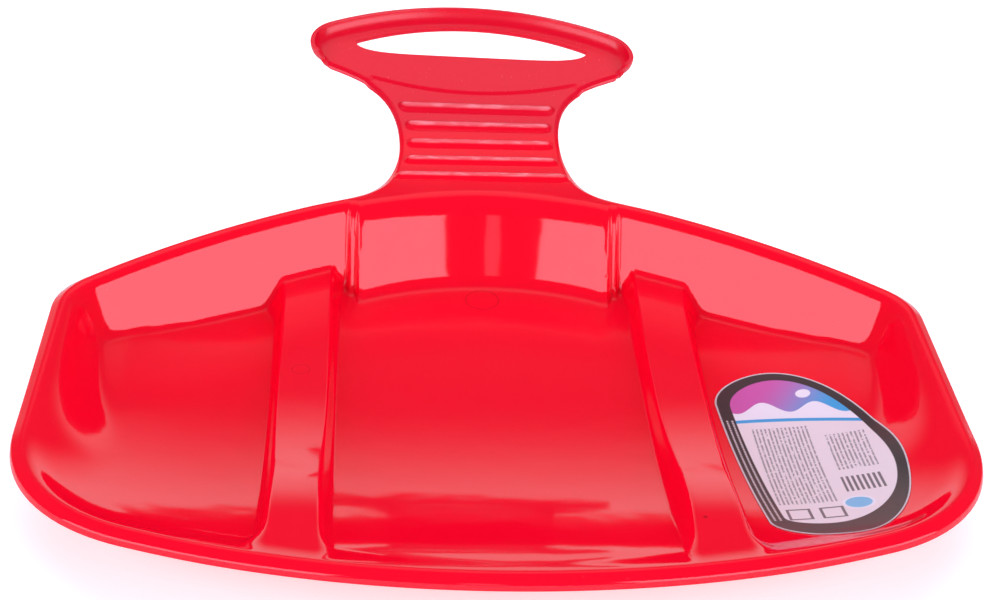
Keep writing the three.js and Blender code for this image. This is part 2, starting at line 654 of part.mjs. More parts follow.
function onFace(point) {
  return new THREE.Vector3(point.x, point.y, faceHeight(point.x, point.y));
}

// An indexed surface from triangles, without those that have no area.
function surfaceOf(points) {
  const geometry = mergeVertices(new THREE.BufferGeometry().setFromPoints(points));
  const index = [];
  const all = geometry.index.array;
  for (let i = 0; i < all.length; i += 3) {
    const [a, b, c] = all.slice(i, i + 3);
    if (a !== b && b !== c && c !== a) index.push(a, b, c);
  }
  geometry.setIndex(index);
  geometry.computeVertexNormals();
  return geometry;
}

// A closed sheet: the surface's points moved along their normals to two levels, with walls
// between them along its free edges. The upper level is lifted once more by a function.
function thickened(surface, low, high, lift) {
  const { position, normal } = surface.attributes;
  const count = position.count;
  const points = [];
  for (const level of [high, low]) {
    for (let i = 0; i < count; i++) {
      const point = new THREE.Vector3().fromBufferAttribute(position, i);
      const raised = level === high ? lift(point) : 0;
      const way = new THREE.Vector3().fromBufferAttribute(normal, i);
      point.addScaledVector(way, level);
      point.z += raised;
      points.push(point);
    }
  }
  const index = [];
  const triangles = surface.index.array;
  const free = new Map();
  for (let i = 0; i < triangles.length; i += 3) {
    const corners = triangles.slice(i, i + 3);
    index.push(...corners);
    index.push(...[...corners].reverse().map((corner) => corner + count));
    corners.forEach((a, k) => {
      const b = corners[(k + 1) % 3];
      if (!free.delete(b * count + a)) free.set(a * count + b, [a, b]);
    });
  }
  for (const [a, b] of free.values()) index.push(b, a, a + count, b, a + count, b + count);
  const geometry = new THREE.BufferGeometry().setFromPoints(points);
  geometry.setIndex(index);
  return geometry;
}

function sliderSurface() {
  const faces = [];
  const inside = panPlaces();
  const rows = neckPlaces();
  addNet(faces, inside.map((column) => column.map(onFace)));
  const root = inside.slice(0, ROOT_COLUMN + 1).map((column) => column[LAST_ROW]);
  addNet(faces, [root, ...rows].map((row) => row.map(onFace)));
  addNet(faces, gripPlaces().map((line) => line.map(onFace)));
  const lengths = [
    ...rearLengths,
    ...sideLengths.slice(1),
    ...frontLengths.slice(ROOT_COLUMN, LAST_COLUMN).reverse(),
    ...ribLengths,
    ...stepLengths,
    ...shoulderLengths,
    ...gripLengths.slice(1),
  ];
  addNet(faces, lengths.map(rollPlaces));
  return surfaceOf(faces);
}

// The label's outline, as the two ways from its rearmost to its foremost point.
function labelCurves() {
  const point = (across, along) =>
    new THREE.Vector2(LABEL_X + LABEL_WIDTH * across, LABEL_REAR + LABEL_LENGTH * along);
  const rear = point(LABEL_REAR_SHARE, 0);
  const front = point(LABEL_FRONT_SHARE, 1);
  const widest = point(1, LABEL_WIDEST_SHARE);
  const straightRear = point(LABEL_STRAIGHT_ACROSS_SHARE, LABEL_STRAIGHT_FROM_SHARE);
  const straightFront = point(0, LABEL_STRAIGHT_TO_SHARE);
  const quarter = (from, to, corner) =>
    new THREE.CubicBezierCurve(
      from,
      from.clone().lerp(corner, LABEL_ROUNDING_SHARE),
      to.clone().lerp(corner, LABEL_ROUNDING_SHARE),
      to,
    );
  const inner = new THREE.CurvePath();
  inner.add(quarter(rear, straightRear, point(LABEL_STRAIGHT_ACROSS_SHARE, 0)));
  inner.add(new THREE.LineCurve(straightRear, straightFront));
  inner.add(quarter(straightFront, front, point(0, 1)));
  const outer = new THREE.CurvePath();
  outer.add(quarter(rear, widest, point(1, 0)));
  outer.add(quarter(widest, front, point(1, 1)));
  return { inner, outer };
}

const LABEL_ROWS = 16;
const LABEL_COLUMNS = 8;

function labelSurface() {
  const { inner, outer } = labelCurves();
  const net = evenly(0, 1, LABEL_ROWS).map((share) => {
    const from = inner.getPoint(share);
    const to = outer.getPoint(share);
    return evenly(0, 1, LABEL_COLUMNS).map((across) => onFace(from.clone().lerp(to, across)));
  });
  const faces = [];
  for (let i = 1; i < net.length; i++) {
    for (let j = 1; j < net[i].length; j++) {
      const [a, b, c, d] = [net[i - 1][j - 1], net[i - 1][j], net[i][j], net[i][j - 1]];
      faces.push(a, b, c, a, c, d);
    }
  }
  return surfaceOf(faces);
}

// The object, moved so that it stands on the ground with its plan box about the origin.
function buildSlider() {
  const body = thickened(sliderSurface(), -WALL, 0, (point) => ribHeight(point.x, point.y));
  const bottom = LABEL_GAP;
  const label = thickened(labelSurface(), bottom, bottom + LABEL_THICKNESS, () => 0);
  body.computeBoundingBox();
  const { min, max } = body.boundingBox;
  const toOrigin = new THREE.Vector3(0, -(min.y + max.y) / 2, -min.z);
  const group = new THREE.Group();
  const pieces = [
    ["slider_body", body, RED],
    ["product_label", label, LABEL_GREY],
  ];
  for (const [name, geometry, color] of pieces) {
    geometry.translate(toOrigin.x, toOrigin.y, toOrigin.z);
    geometry.computeVertexNormals();
    const mesh = new THREE.Mesh(geometry, new THREE.MeshStandardMaterial({ color }));
    mesh.name = name;
    group.add(mesh);
  }
  return group;
}

export default buildSlider();
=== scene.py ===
"""Snow slider: the finished look of the moulded pan with its neck and handle, and of its label.

Lengths are metres. The plan's own Y = 0 lies under the middle of the pan's floor, and heights
are over the upper face of the flat floor. The finished meshes are moved from there to the
frame, where the model stands on the ground with its plan box about the origin.
"""

import json
import logging
import math
from dataclasses import dataclass, field
from enum import Enum
from typing import Callable, Sequence

import bpy
import numpy as np
from mathutils import Matrix, Vector

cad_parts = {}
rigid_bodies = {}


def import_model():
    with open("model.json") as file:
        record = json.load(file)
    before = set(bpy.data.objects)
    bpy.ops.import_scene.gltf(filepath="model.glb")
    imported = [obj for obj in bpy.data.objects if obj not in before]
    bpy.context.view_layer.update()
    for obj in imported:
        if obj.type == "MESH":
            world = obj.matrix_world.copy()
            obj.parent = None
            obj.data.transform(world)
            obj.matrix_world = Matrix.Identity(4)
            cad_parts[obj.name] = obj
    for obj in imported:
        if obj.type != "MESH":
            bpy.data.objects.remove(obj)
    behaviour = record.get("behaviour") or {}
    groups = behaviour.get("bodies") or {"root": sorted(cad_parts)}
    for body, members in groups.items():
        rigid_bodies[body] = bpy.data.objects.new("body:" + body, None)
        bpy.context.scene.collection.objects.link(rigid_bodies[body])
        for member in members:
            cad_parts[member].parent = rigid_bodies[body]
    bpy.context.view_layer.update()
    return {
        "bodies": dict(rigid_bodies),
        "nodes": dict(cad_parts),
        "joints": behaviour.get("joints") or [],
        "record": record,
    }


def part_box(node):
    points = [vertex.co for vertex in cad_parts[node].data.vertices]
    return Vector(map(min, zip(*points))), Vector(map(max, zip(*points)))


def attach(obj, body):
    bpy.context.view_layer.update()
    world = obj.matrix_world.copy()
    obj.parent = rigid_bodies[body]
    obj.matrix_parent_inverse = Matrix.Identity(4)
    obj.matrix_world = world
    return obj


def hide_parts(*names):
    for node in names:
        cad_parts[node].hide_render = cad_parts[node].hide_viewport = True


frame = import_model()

LOG = logging.getLogger("slider")
Points = np.ndarray
Pair = tuple[float, float]
Place = tuple[float, float, float]
Corners = tuple[Pair, Pair]
Colour = tuple[float, float, float, float]
Socket = bpy.types.NodeSocket
MM = 0.001
MERGE = 0.02 * MM
FIT_SPARE = 0.04 * MM
BUMP_DEPTH = 0.3 * MM
TINY = 1e-12
SEARCH_STEPS = 6000
RIB_END_STEPS = 200
OUTLINE_STEPS = 90
DEPTH_BATCH = 4000


class Node(str, Enum):
    """The model's nodes that finished pieces stand for."""

    BODY = "slider_body"
    LABEL = "product_label"


class Slot(str, Enum):
    """The record's material slots."""

    RED = "red_plastic"
    LABEL = "printed_label"


def smoothstep(values: Points, low: float, high: float) -> Points:
    """Eases from 0 to 1 between two values.

    Args:
        values: What is eased.
        low: Where it starts to leave 0.
        high: Where it reaches 1.

    Returns:
        The eased shares, in the shape of values.
    """
    share = np.clip((values - low) / (high - low), 0.0, 1.0)
    return share * share * (3.0 - 2.0 * share)


def eased_ramp(share: Points, ease: float) -> Points:
    """A straight ramp from 0 to 1 whose two ends are rounded.

    Args:
        share: The way along the ramp.
        ease: The part of it, at each end, that is rounded.

    Returns:
        The height of the ramp.
    """
    share = np.clip(share, 0.0, 1.0)
    foot = share**2 / (2.0 * ease * (1.0 - ease))
    head = 1.0 - (1.0 - share) ** 2 / (2.0 * ease * (1.0 - ease))
    middle = (share - ease / 2.0) / (1.0 - ease)
    return np.where(share < ease, foot, np.where(share > 1.0 - ease, head, middle))


def rounded_max(first: Points, second: Points, blend: float | Points) -> Points:
    """The greater of two heights, with the corner between them rounded.

    Args:
        first: One height.
        second: The other.
        blend: The difference of heights below which they are blended.

    Returns:
        The blended height.
    """
    near = np.maximum(blend - np.abs(first - second), 0.0)
    return np.maximum(first, second) + near * near / (4.0 * blend)


def rounded_min(first: Points, second: Points, blend: float | Points) -> Points:
    """The lesser of two heights, blended as by rounded_max."""
    return -rounded_max(-first, -second, blend)


def spaced(low: float, high: float, step: float) -> Points:
    """Even values from one to another, about a step apart, with both of them."""
    return np.linspace(low, high, max(1, round(abs(high - low) / step)) + 1)


def chained(*runs: Points) -> Points:
    """Joins runs of values of which each starts with the last value of the one before."""
    return np.concatenate([runs[0], *(run[1:] for run in runs[1:])])


def shares_of(values: Points) -> Points:
    """How far each value lies on the way from the first to the last."""
    return (values - values[0]) / (values[-1] - values[0])


@dataclass(frozen=True)
class Arc:
    """A circular arc in plan, from one bearing of its radius to another."""

    centre: Pair
    radius: float
    start: float
    stop: float

    @property
    def length(self) -> float:
        """The arc's length."""
        return self.radius * abs(self.stop - self.start)

    def at(self, lengths: Points) -> tuple[Points, Points]:
        """Places at lengths along the arc.

        Args:
            lengths: Distances from its start.

        Returns:
            The points, and the unit tangents there.
        """
        sense = math.copysign(1.0, self.stop - self.start)
        turn = self.start + sense * lengths / self.radius
        radial = np.stack([np.cos(turn), np.sin(turn)], axis=-1)
        tangent = sense * np.stack([-np.sin(turn), np.cos(turn)], axis=-1)
        return np.array(self.centre) + self.radius * radial, tangent

    def distance(self, points: Points) -> Points:
        """The distances of points from the arc."""
        offset = points - np.array(self.centre)
        bearing = np.arctan2(offset[..., 1], offset[..., 0])
        low, high = sorted((self.start, self.stop))
        ends, _ = self.at(np.array([0.0, self.length]))
        to_ends = np.min(np.linalg.norm(points[..., None, :] - ends, axis=-1), axis=-1)
        to_circle = np.abs(np.linalg.norm(offset, axis=-1) - self.radius)
        return np.where((bearing >= low) & (bearing <= high), to_circle, to_ends)


@dataclass(frozen=True)
class Straight:
    """A straight stretch in plan."""

    start: Pair
    stop: Pair

    @property
    def length(self) -> float:
        """The stretch's length."""
        return math.dist(self.start, self.stop)

    def at(self, lengths: Points) -> tuple[Points, Points]:
        """Places at lengths along the stretch, as by Arc.at."""
        way = (np.array(self.stop) - np.array(self.start)) / self.length
        points = np.array(self.start) + np.asarray(lengths)[..., None] * way
        return points, np.broadcast_to(way, points.shape)

    def distance(self, points: Points) -> Points:
        """The distances of points from the stretch."""
        start = np.array(self.start)
        way = (np.array(self.stop) - start) / self.length
        along = np.clip((points - start) @ way, 0.0, self.length)
        return np.linalg.norm(points - start - along[..., None] * way, axis=-1)


@dataclass(frozen=True)
class Sweep:
    """A cubic curve in plan between two points with handles."""

    points: tuple[Pair, ...]
    samples: int = 1500

    def _place(self, t: Points) -> Points:
        """Points at values of the curve's own parameter."""
        a, b, c, d = (np.array(point) for point in self.points)
        t = np.asarray(t)[..., None]
        rest = 1.0 - t
        return rest**3 * a + 3 * rest**2 * t * b + 3 * rest * t**2 * c + t**3 * d

    def _table(self) -> tuple[Points, Points]:
        """The parameter's values, and the length that the curve has run at each."""
        t = np.linspace(0.0, 1.0, self.samples)
        steps = np.linalg.norm(np.diff(self._place(t), axis=0), axis=-1)
        return t, np.concatenate([[0.0], np.cumsum(steps)])

    @property
    def length(self) -> float:
        """The curve's length."""
        return float(self._table()[1][-1])

    def at(self, lengths: Points) -> tuple[Points, Points]:
        """Places at lengths along the curve, as by Arc.at."""
        t, run = self._table()
        here = np.interp(lengths, run, t)
        a, b, c, d = (np.array(point) for point in self.points)
        u = here[..., None]
        way = (1 - u) ** 2 * (b - a) + 2 * (1 - u) * u * (c - b) + u**2 * (d - c)
        return self._place(here), way / np.linalg.norm(way, axis=-1, keepdims=True)


class EdgePath:
    """Stretches that follow on from each other, anticlockwise round the material."""

    def __init__(self, **stretches: Arc | Straight | Sweep) -> None:
        """Takes the stretches by name, in their order."""
        self.stretches = stretches
        run = np.cumsum([0.0] + [stretch.length for stretch in stretches.values()])
        self.starts = dict(zip(stretches, run))
        self.length = float(run[-1])

    def drawn_in(self, lengths: Points, inset: float | Points) -> Points:
        """Places along the path, moved into the material.

        Args:
            lengths: Distances along the whole path.
            inset: How far in each place is moved, square to the path.

        Returns:
            The points in plan.
        """
        lengths = np.atleast_1d(np.asarray(lengths, dtype=float))
        points = np.zeros((*lengths.shape, 2))
        for name, stretch in self.stretches.items():
            start = self.starts[name]
            last = start + stretch.length >= self.length - TINY
            here = (lengths >= start) & ((lengths < start + stretch.length) | last)
            place, way = stretch.at(lengths[here] - start)
            out = np.stack([way[..., 1], -way[..., 0]], axis=-1)
            depth = np.broadcast_to(inset, lengths.shape)[here]
            points[here] = place - depth[..., None] * out
        return points

    def length_where(self, axis: int, values: Points, low: float, high: float, inset: float) -> Points:
        """The lengths at which the drawn-in path has given values of x or y.

        Args:
            axis: 0 for x, 1 for y.
            values: The wanted values.
            low: Where the search along the path starts.
            high: Where it ends. The coordinate only rises or only falls in between.
            inset: How far in the path is drawn.

        Returns:
            One length for each value.
        """
        lengths = np.linspace(low, high, SEARCH_STEPS)
        run = self.drawn_in(lengths, inset)[:, axis]
        order = np.argsort(run)
        return np.interp(values, run[order], lengths[order])


@dataclass(frozen=True)
class PanSizes:
    """The pan's outline, rim, floor, wall and ridges."""

    wall: float = 2.6 * MM
    front: float = 176 * MM
    rear: float = -195 * MM
    half: float = 235.5 * MM
    taper: float = 5.2 * MM
    taper_length: float = 124 * MM
    rear_radius: float = 500 * MM
    rear_corner_radius: float = 92 * MM
    front_corner_radius: float = 38 * MM
    front_outer_radius: float = 600 * MM
    front_middle_radius: float = 190 * MM
    front_middle_sine: float = 0.45
    rim_front: float = 50 * MM
    rim_rear: float = 34 * MM
    rim_rear_level: float = 64 * MM
    rim_front_level: float = 4 * MM
    roll_width: float = 6 * MM
    roll_drop: float = 6.6 * MM
    roll_ease: float = 0.2
    roll_gentle: float = 0.55
    brink: float = 0.86
    flat_to: float = 10 * MM
    floor_rear_radius: float = 545 * MM
    floor_side_radius: float = 335 * MM
    front_rise_reach: float = 114 * MM
    front_rise_radius: float = 560 * MM
    wall_inset: float = 11.5 * MM
    wall_steepness: float = 2.5
    rear_steepness: float = 0.85
    side_steepness: float = 1.35
    lean_from: float = 60 * MM
    lean_run: float = 130 * MM
    panel_inset: float = 17 * MM
    panel_steepness: float = 1.8
    wall_top_blend: float = 11 * MM
    wall_foot_blend: float = 5.5 * MM
    side_foot_blend: float = 27 * MM
    side_foot_low: float = 4 * MM
    side_foot_high: float = 20 * MM
    side_from: float = 10 * MM
    side_full: float = 40 * MM
    ridge_inner: float = 81 * MM
    ridge_width: float = 35 * MM
    ridge_side: float = 5.2 * MM
    ridge_ease: float = 0.28
    ridge_height: float = 11 * MM
    ridge_rear_height: float = 15.5 * MM
    ridge_rise_to: float = -140 * MM
    ridge_flare: float = 8 * MM
    ridge_flare_front: float = 46 * MM
    ridge_flare_rear: float = 38 * MM
    ridge_flare_run: float = 22 * MM
    ridge_flare_inner: float = 0.35
    ridge_end_blend: float = 3 * MM
    pleat_width: float = 8 * MM
    pleat_gap: float = 3 * MM
    pleat_line: float = 3.2 * MM

    @property
    def ridge_outer(self) -> float:
        """The x of a ridge's outer foot."""
        return self.ridge_inner + self.ridge_width

    @property
    def pleat_outer(self) -> float:
        """The x of a pleat's outer line."""
        return self.ridge_inner - self.pleat_gap

    @property
    def pleat_inner(self) -> float:
        """The x of a pleat's inner line."""
        return self.pleat_outer - self.pleat_width

    def outline(self, inset: float = 0.0, least_radius: float = 0.0) -> dict[str, Arc | Straight]:
        """The right half of the pan's edge, from the rear middle to the front middle.

        Args:
            inset: How far the whole outline is drawn in.
            least_radius: What the drawn-in front corner keeps at least.

        Returns:
            The arcs and the straight side, by name.
        """
        rear_radius = self.rear_radius - inset
        rear_corner_radius = self.rear_corner_radius - inset
        corner_radius = max(self.front_corner_radius - inset, least_radius)
        outer_radius = self.front_outer_radius - inset
        splay = math.atan2(self.taper, self.taper_length)
        rear_centre = np.array([0.0, self.rear + self.rear_radius])
        corner_x = self.half - self.rear_corner_radius * math.cos(splay)
        rear_turn = math.asin(corner_x / (rear_radius - rear_corner_radius)) - math.pi / 2
        rear_corner = rear_centre + (rear_radius - rear_corner_radius) * unit(rear_turn)
        side_rear = rear_corner + rear_corner_radius * unit(splay)

        middle_centre = np.array([0.0, self.front - self.front_middle_radius])
        middle_turn = math.pi / 2 - math.asin(self.front_middle_sine)
        shift = self.front_middle_radius - self.front_outer_radius
        outer_centre = middle_centre + shift * unit(middle_turn)
        start = side_rear - corner_radius * unit(splay) - outer_centre
        along = unit(splay + math.pi / 2)
        reach = outer_radius - corner_radius
        half_b = float(start @ along)
        run = -half_b + math.sqrt(half_b**2 - float(start @ start) + reach**2)
        front_corner = start + run * along + outer_centre
        corner_turn = math.atan2(*(front_corner - outer_centre)[::-1])
        side_front = front_corner + corner_radius * unit(splay)
        return {
            "rear": Arc(tuple(rear_centre), rear_radius, -math.pi / 2, rear_turn),
            "rear_corner": Arc(tuple(rear_corner), rear_corner_radius, rear_turn, splay),
            "side": Straight(tuple(side_rear), tuple(side_front)),
            "front_corner": Arc(tuple(front_corner), corner_radius, splay, corner_turn),
            "front_outer": Arc(tuple(outer_centre), outer_radius, corner_turn, middle_turn),
            "front_middle": Arc(
                tuple(middle_centre), self.front_middle_radius - inset, middle_turn, math.pi / 2
            ),
        }


def unit(bearing: float) -> Points:
    """The unit vector with a bearing."""
    return np.array([math.cos(bearing), math.sin(bearing)])


@dataclass(frozen=True)
class NeckSizes:
    """The neck and the handle."""

    flare_start: float = 99 * MM
    flare_pull: float = 26 * MM
    waist_half: float = 47.5 * MM
    waist_reach: float = 42 * MM
    waist_pull: float = 54 * MM
    shoulder_pull: float = 45 * MM
    root_half: float = 64 * MM
    rise_reach: float = -16 * MM
    rise_run: float = 90 * MM
    slope_from: float = math.radians(4)
    slope_to: float = math.radians(16.5)
    rib_count: int = 5
    rib_reach: float = 4 * MM
    rib_pitch: float = 16.7 * MM
    rib_half_width: float = 3.8 * MM
    rib_height: float = 2.6 * MM
    rib_edge_gap: float = -1.5 * MM
    rib_end_run: float = 4 * MM
    rib_rows_short: float = 0.6
    step_reach: float = 83.7 * MM
    step_bow: float = 16.5 * MM
    step_half: float = 75 * MM
    step_run: float = 1.6 * MM
    step_rise: float = 1.3 * MM
    opening_reach: float = 33 * MM
    opening_half: float = 72 * MM
    opening_tip_rise: float = 10.2 * MM
    opening_arch_rise: float = 17 * MM
    opening_power: int = 6
    grip_width: float = 8 * MM
    handle_margin: float = 24.8 * MM
    handle_radius: float = 198 * MM
    end_radius: float = 20 * MM
    tip_radius: float = 9 * MM
    tip_turn: float = math.radians(63)
    tip_pull: float = 27 * MM
    lip_height: float = 7.6 * MM
    lip_run: float = 5 * MM
    lip_past: float = 0.3
    rim_before: float = 12 * MM
    rim_past: float = 20 * MM
    roll_drop: float = 3 * MM
    roll_flat: float = 0.55
    lean: float = 3 * MM
    twist: float = 0.029
    lean_lead: float = 20 * MM


@dataclass(frozen=True)
class MeshSteps:
    """How finely the surface is meshed."""

    floor: float = 4.2 * MM
    front: float = 1.7 * MM
    front_zone: float = 30 * MM
    band: float = 1.7 * MM
    band_width: float = 34 * MM
    neck: float = 2.6 * MM
    rib: float = 0.85 * MM
    ridge_side: float = 0.75 * MM
    pleat: float = 0.9 * MM
    roll: int = 12
    grip: int = 44
    grip_across: int = 5
    shoulder: int = 52
    shoulder_start: int = 2
    shoulder_bend: int = 5
    opening_even: float = 0.3
    ring_radius: float = 9 * MM
    corner_density: float = 1.45
    corner_power: float = 1.5
    bevel: float = 0.55 * MM
    bevel_segments: int = 2
    bevel_angle: float = math.radians(62)
    smooth_angle: float = math.radians(50)


def in_object_mode() -> None:
    """Leaves edit mode, if it is on, and deselects everything."""
    if bpy.context.object and bpy.context.object.mode != "OBJECT":
        bpy.ops.object.mode_set(mode="OBJECT")
    bpy.ops.object.select_all(action="DESELECT")


def select_only(piece: bpy.types.Object) -> None:
    """Selects one object and makes it the active one."""
    in_object_mode()
    piece.select_set(True)
    bpy.context.view_layer.objects.active = piece


def grid_net(name: str, net: Points) -> bpy.types.Object:
    """A grid primitive whose vertices are laid on a net of points.

    Args:
        name: The object's name.
        net: The points, as rows of columns of three coordinates.

    Returns:
        The grid object.
    """
    rows, columns, _ = net.shape
    in_object_mode()
    bpy.ops.mesh.primitive_grid_add(x_subdivisions=columns - 1, y_subdivisions=rows - 1, size=1.0)
    grid = bpy.context.object
    grid.name = name
    grid.data.vertices.foreach_set("co", net.reshape(-1).astype(np.float32))
    grid.data.update()
    return grid


def joined(name: str, parts: Sequence[bpy.types.Object]) -> bpy.types.Object:
    """Joins objects into one and merges the vertices that they share.

    Args:
        name: The joined object's name.
        parts: The objects.

    Returns:
        The joined object.
    """
    in_object_mode()
    for part in parts:
        part.select_set(True)
    bpy.context.view_layer.objects.active = parts[0]
    bpy.ops.object.join()
    whole = bpy.context.object
    whole.name = name
    whole.data.name = name
    bpy.ops.object.mode_set(mode="EDIT")
    bpy.ops.mesh.select_all(action="SELECT")
    bpy.ops.mesh.remove_doubles(threshold=MERGE)
    bpy.ops.mesh.normals_make_consistent(inside=False)
    bpy.ops.object.mode_set(mode="OBJECT")
    heights = np.zeros(len(whole.data.polygons) * 3)
    whole.data.polygons.foreach_get("normal", heights)
    if heights[2::3].mean() < 0:
        bpy.ops.object.mode_set(mode="EDIT")
        bpy.ops.mesh.select_all(action="SELECT")
        bpy.ops.mesh.flip_normals()
        bpy.ops.object.mode_set(mode="OBJECT")
    return whole


def with_modifier(piece: bpy.types.Object, kind: str, **settings: object) -> None:
    """Adds a modifier to a piece and applies it.

    Args:
        piece: The piece.
        kind: The modifier's type.
        settings: Its settings, by name.
    """
    select_only(piece)
    modifier = piece.modifiers.new(kind.title(), kind)
    for name, value in settings.items():
        setattr(modifier, name, value)
    bpy.ops.object.modifier_apply(modifier=modifier.name)


def coordinates(piece: bpy.types.Object) -> Points:
    """A mesh object's vertex places, one row each."""
    places = np.zeros(len(piece.data.vertices) * 3)
    piece.data.vertices.foreach_get("co", places)
    return places.reshape(-1, 3)


def place_vertices(piece: bpy.types.Object, places: Points) -> None:
    """Writes a mesh object's vertex places."""
    piece.data.vertices.foreach_set("co", places.reshape(-1).astype(np.float32))
    piece.data.update()


def write_attribute(piece: bpy.types.Object, name: str, values: Points) -> None:
    """Writes one number for each vertex of a mesh object, for its material."""
    attribute = piece.data.attributes.new(name, "FLOAT", "POINT")
    attribute.data.foreach_set("value", values.astype(np.float32))


@dataclass
class SliderShell:
    """The moulding: the pan with its rim, ridges and pleats, the neck and the handle."""

    pan: PanSizes = field(default_factory=PanSizes)
    neck: NeckSizes = field(default_factory=NeckSizes)
    steps: MeshSteps = field(default_factory=MeshSteps)

    def __post_init__(self) -> None:
        """Works out the outline and the places that follow from the sizes."""
        pan, neck = self.pan, self.neck
        outline = pan.outline()
        self.pan_edge = list(outline.values())
        self.waist_y = pan.front + neck.waist_reach
        self.rib_first = pan.front + neck.rib_reach
        self.step_y = pan.front + neck.step_reach
        self.opening_front = self.step_y + neck.opening_reach
        self.opening_tip = self.opening_front + neck.opening_tip_rise
        handle_top = self.opening_tip + neck.opening_arch_rise + neck.grip_width
        handle_half = neck.opening_half + neck.handle_margin

        outer = outline["front_outer"]
        flare_turn = math.acos((neck.flare_start - outer.centre[0]) / outer.radius)
        flare = np.array(outer.centre) + outer.radius * unit(flare_turn)
        flare_way = unit(flare_turn + math.pi / 2)
        waist = np.array([neck.waist_half, self.waist_y])
        up = np.array([0.0, 1.0])
        top_centre = np.array([0.0, handle_top - neck.handle_radius])
        end_reach = neck.handle_radius - neck.end_radius
        end_turn = math.acos((handle_half - neck.end_radius) / end_reach)
        end_centre = top_centre + end_reach * unit(end_turn)
        tip_centre = np.array([handle_half - neck.tip_radius, end_centre[1]])
        tip = tip_centre + neck.tip_radius * unit(-neck.tip_turn)
        tip_way = unit(math.pi / 2 - neck.tip_turn)
        self.edge = EdgePath(
            rear=outline["rear"],
            rear_corner=outline["rear_corner"],
            side=outline["side"],
            front_corner=outline["front_corner"],
            front_outer=Arc(outer.centre, outer.radius, outer.start, flare_turn),
            flare=Sweep(
                (
                    tuple(flare),
                    tuple(flare + neck.flare_pull * flare_way),
                    tuple(waist - neck.waist_pull * up),
                    tuple(waist),
                )
            ),
            shoulder=Sweep(
                (
                    tuple(waist),
                    tuple(waist + neck.shoulder_pull * up),
                    tuple(tip - neck.tip_pull * tip_way),
                    tuple(tip),
                )
            ),
            tip=Arc(tuple(tip_centre), neck.tip_radius, -neck.tip_turn, 0.0),
            end=Arc(tuple(end_centre), neck.end_radius, 0.0, end_turn),
            top=Arc(tuple(top_centre), neck.handle_radius, end_turn, math.pi / 2),
        )

    def edge_distance(self, points: Points) -> Points:
        """The distances of points from the pan's edge, as if it had no neck."""
        mirrored = np.stack([np.abs(points[..., 0]), points[..., 1]], axis=-1)
        return np.min([stretch.distance(mirrored) for stretch in self.pan_edge], axis=0)

    def plate(self, y: Points) -> Points:
        """Height of the flange, and past the rim of the neck and the handle."""
        pan, neck = self.pan, self.neck
        rise = smoothstep(y, pan.rear + pan.rim_rear_level, pan.front - pan.rim_front_level)
        rim = pan.rim_rear + (pan.rim_front - pan.rim_rear) * rise
        start, stop = math.tan(neck.slope_from), math.tan(neck.slope_to)
        past = y - pan.front - neck.rise_reach
        curved = np.clip(past, 0.0, neck.rise_run)
        bend = (stop - start) * curved**2 / (2.0 * neck.rise_run)
        return rim + start * curved + bend + stop * np.maximum(past - neck.rise_run, 0.0)

    def plain_floor(self, x: Points, y: Points) -> Points:
        """Height of the floor without the ridges. It rises to the rear, the sides and the front."""
        pan = self.pan
        middle, outer, sine = pan.front_middle_radius, pan.front_outer_radius, pan.front_middle_sine
        shift = middle - outer
        cosine = math.sqrt(1.0 - sine**2)
        reach = np.clip(np.abs(x), 0.0, pan.half - pan.taper - pan.front_corner_radius)
        near = np.sqrt(middle**2 - np.minimum(reach, middle * sine) ** 2)
        far = shift * cosine + np.sqrt(outer**2 - (reach - shift * sine) ** 2)
        front = pan.front - middle + np.where(reach < middle * sine, near, far)
        back = np.maximum(pan.flat_to - y, 0.0)
        out = np.maximum(np.abs(x) - pan.ridge_outer, 0.0)
        ahead = np.maximum(y - front + pan.front_rise_reach, 0.0)
        sides = back**2 / (2 * pan.floor_rear_radius) + out**2 / (2 * pan.floor_side_radius)
        return sides + ahead**2 / (2 * pan.front_rise_radius)

    def floor(self, x: Points, y: Points, distance: Points) -> Points:
        """Height of the floor with the two ridges, given the distances from the pan's edge."""
        pan = self.pan
        rear = smoothstep(-y, 0.0, -pan.ridge_rise_to)
        height = pan.ridge_height + (pan.ridge_rear_height - pan.ridge_height) * rear
        side = pan.ridge_side * height / pan.ridge_height
        reach = np.where(y > 0.0, pan.ridge_flare_front, pan.ridge_flare_rear)
        flare = pan.ridge_flare * smoothstep(reach - distance, 0.0, pan.ridge_flare_run)
        inward = pan.ridge_flare_inner * flare
        plain = self.plain_floor(x, y)
        inner = (np.abs(x) - pan.ridge_inner + inward) / (side + inward)
        outer = (pan.ridge_outer + flare - np.abs(x)) / (side + flare)
        share = eased_ramp(np.minimum(inner, outer), pan.ridge_ease)
        raised = rounded_min(plain + height, self.plate(y), pan.ridge_end_blend)
        return np.maximum(plain, plain + (raised - plain) * share)

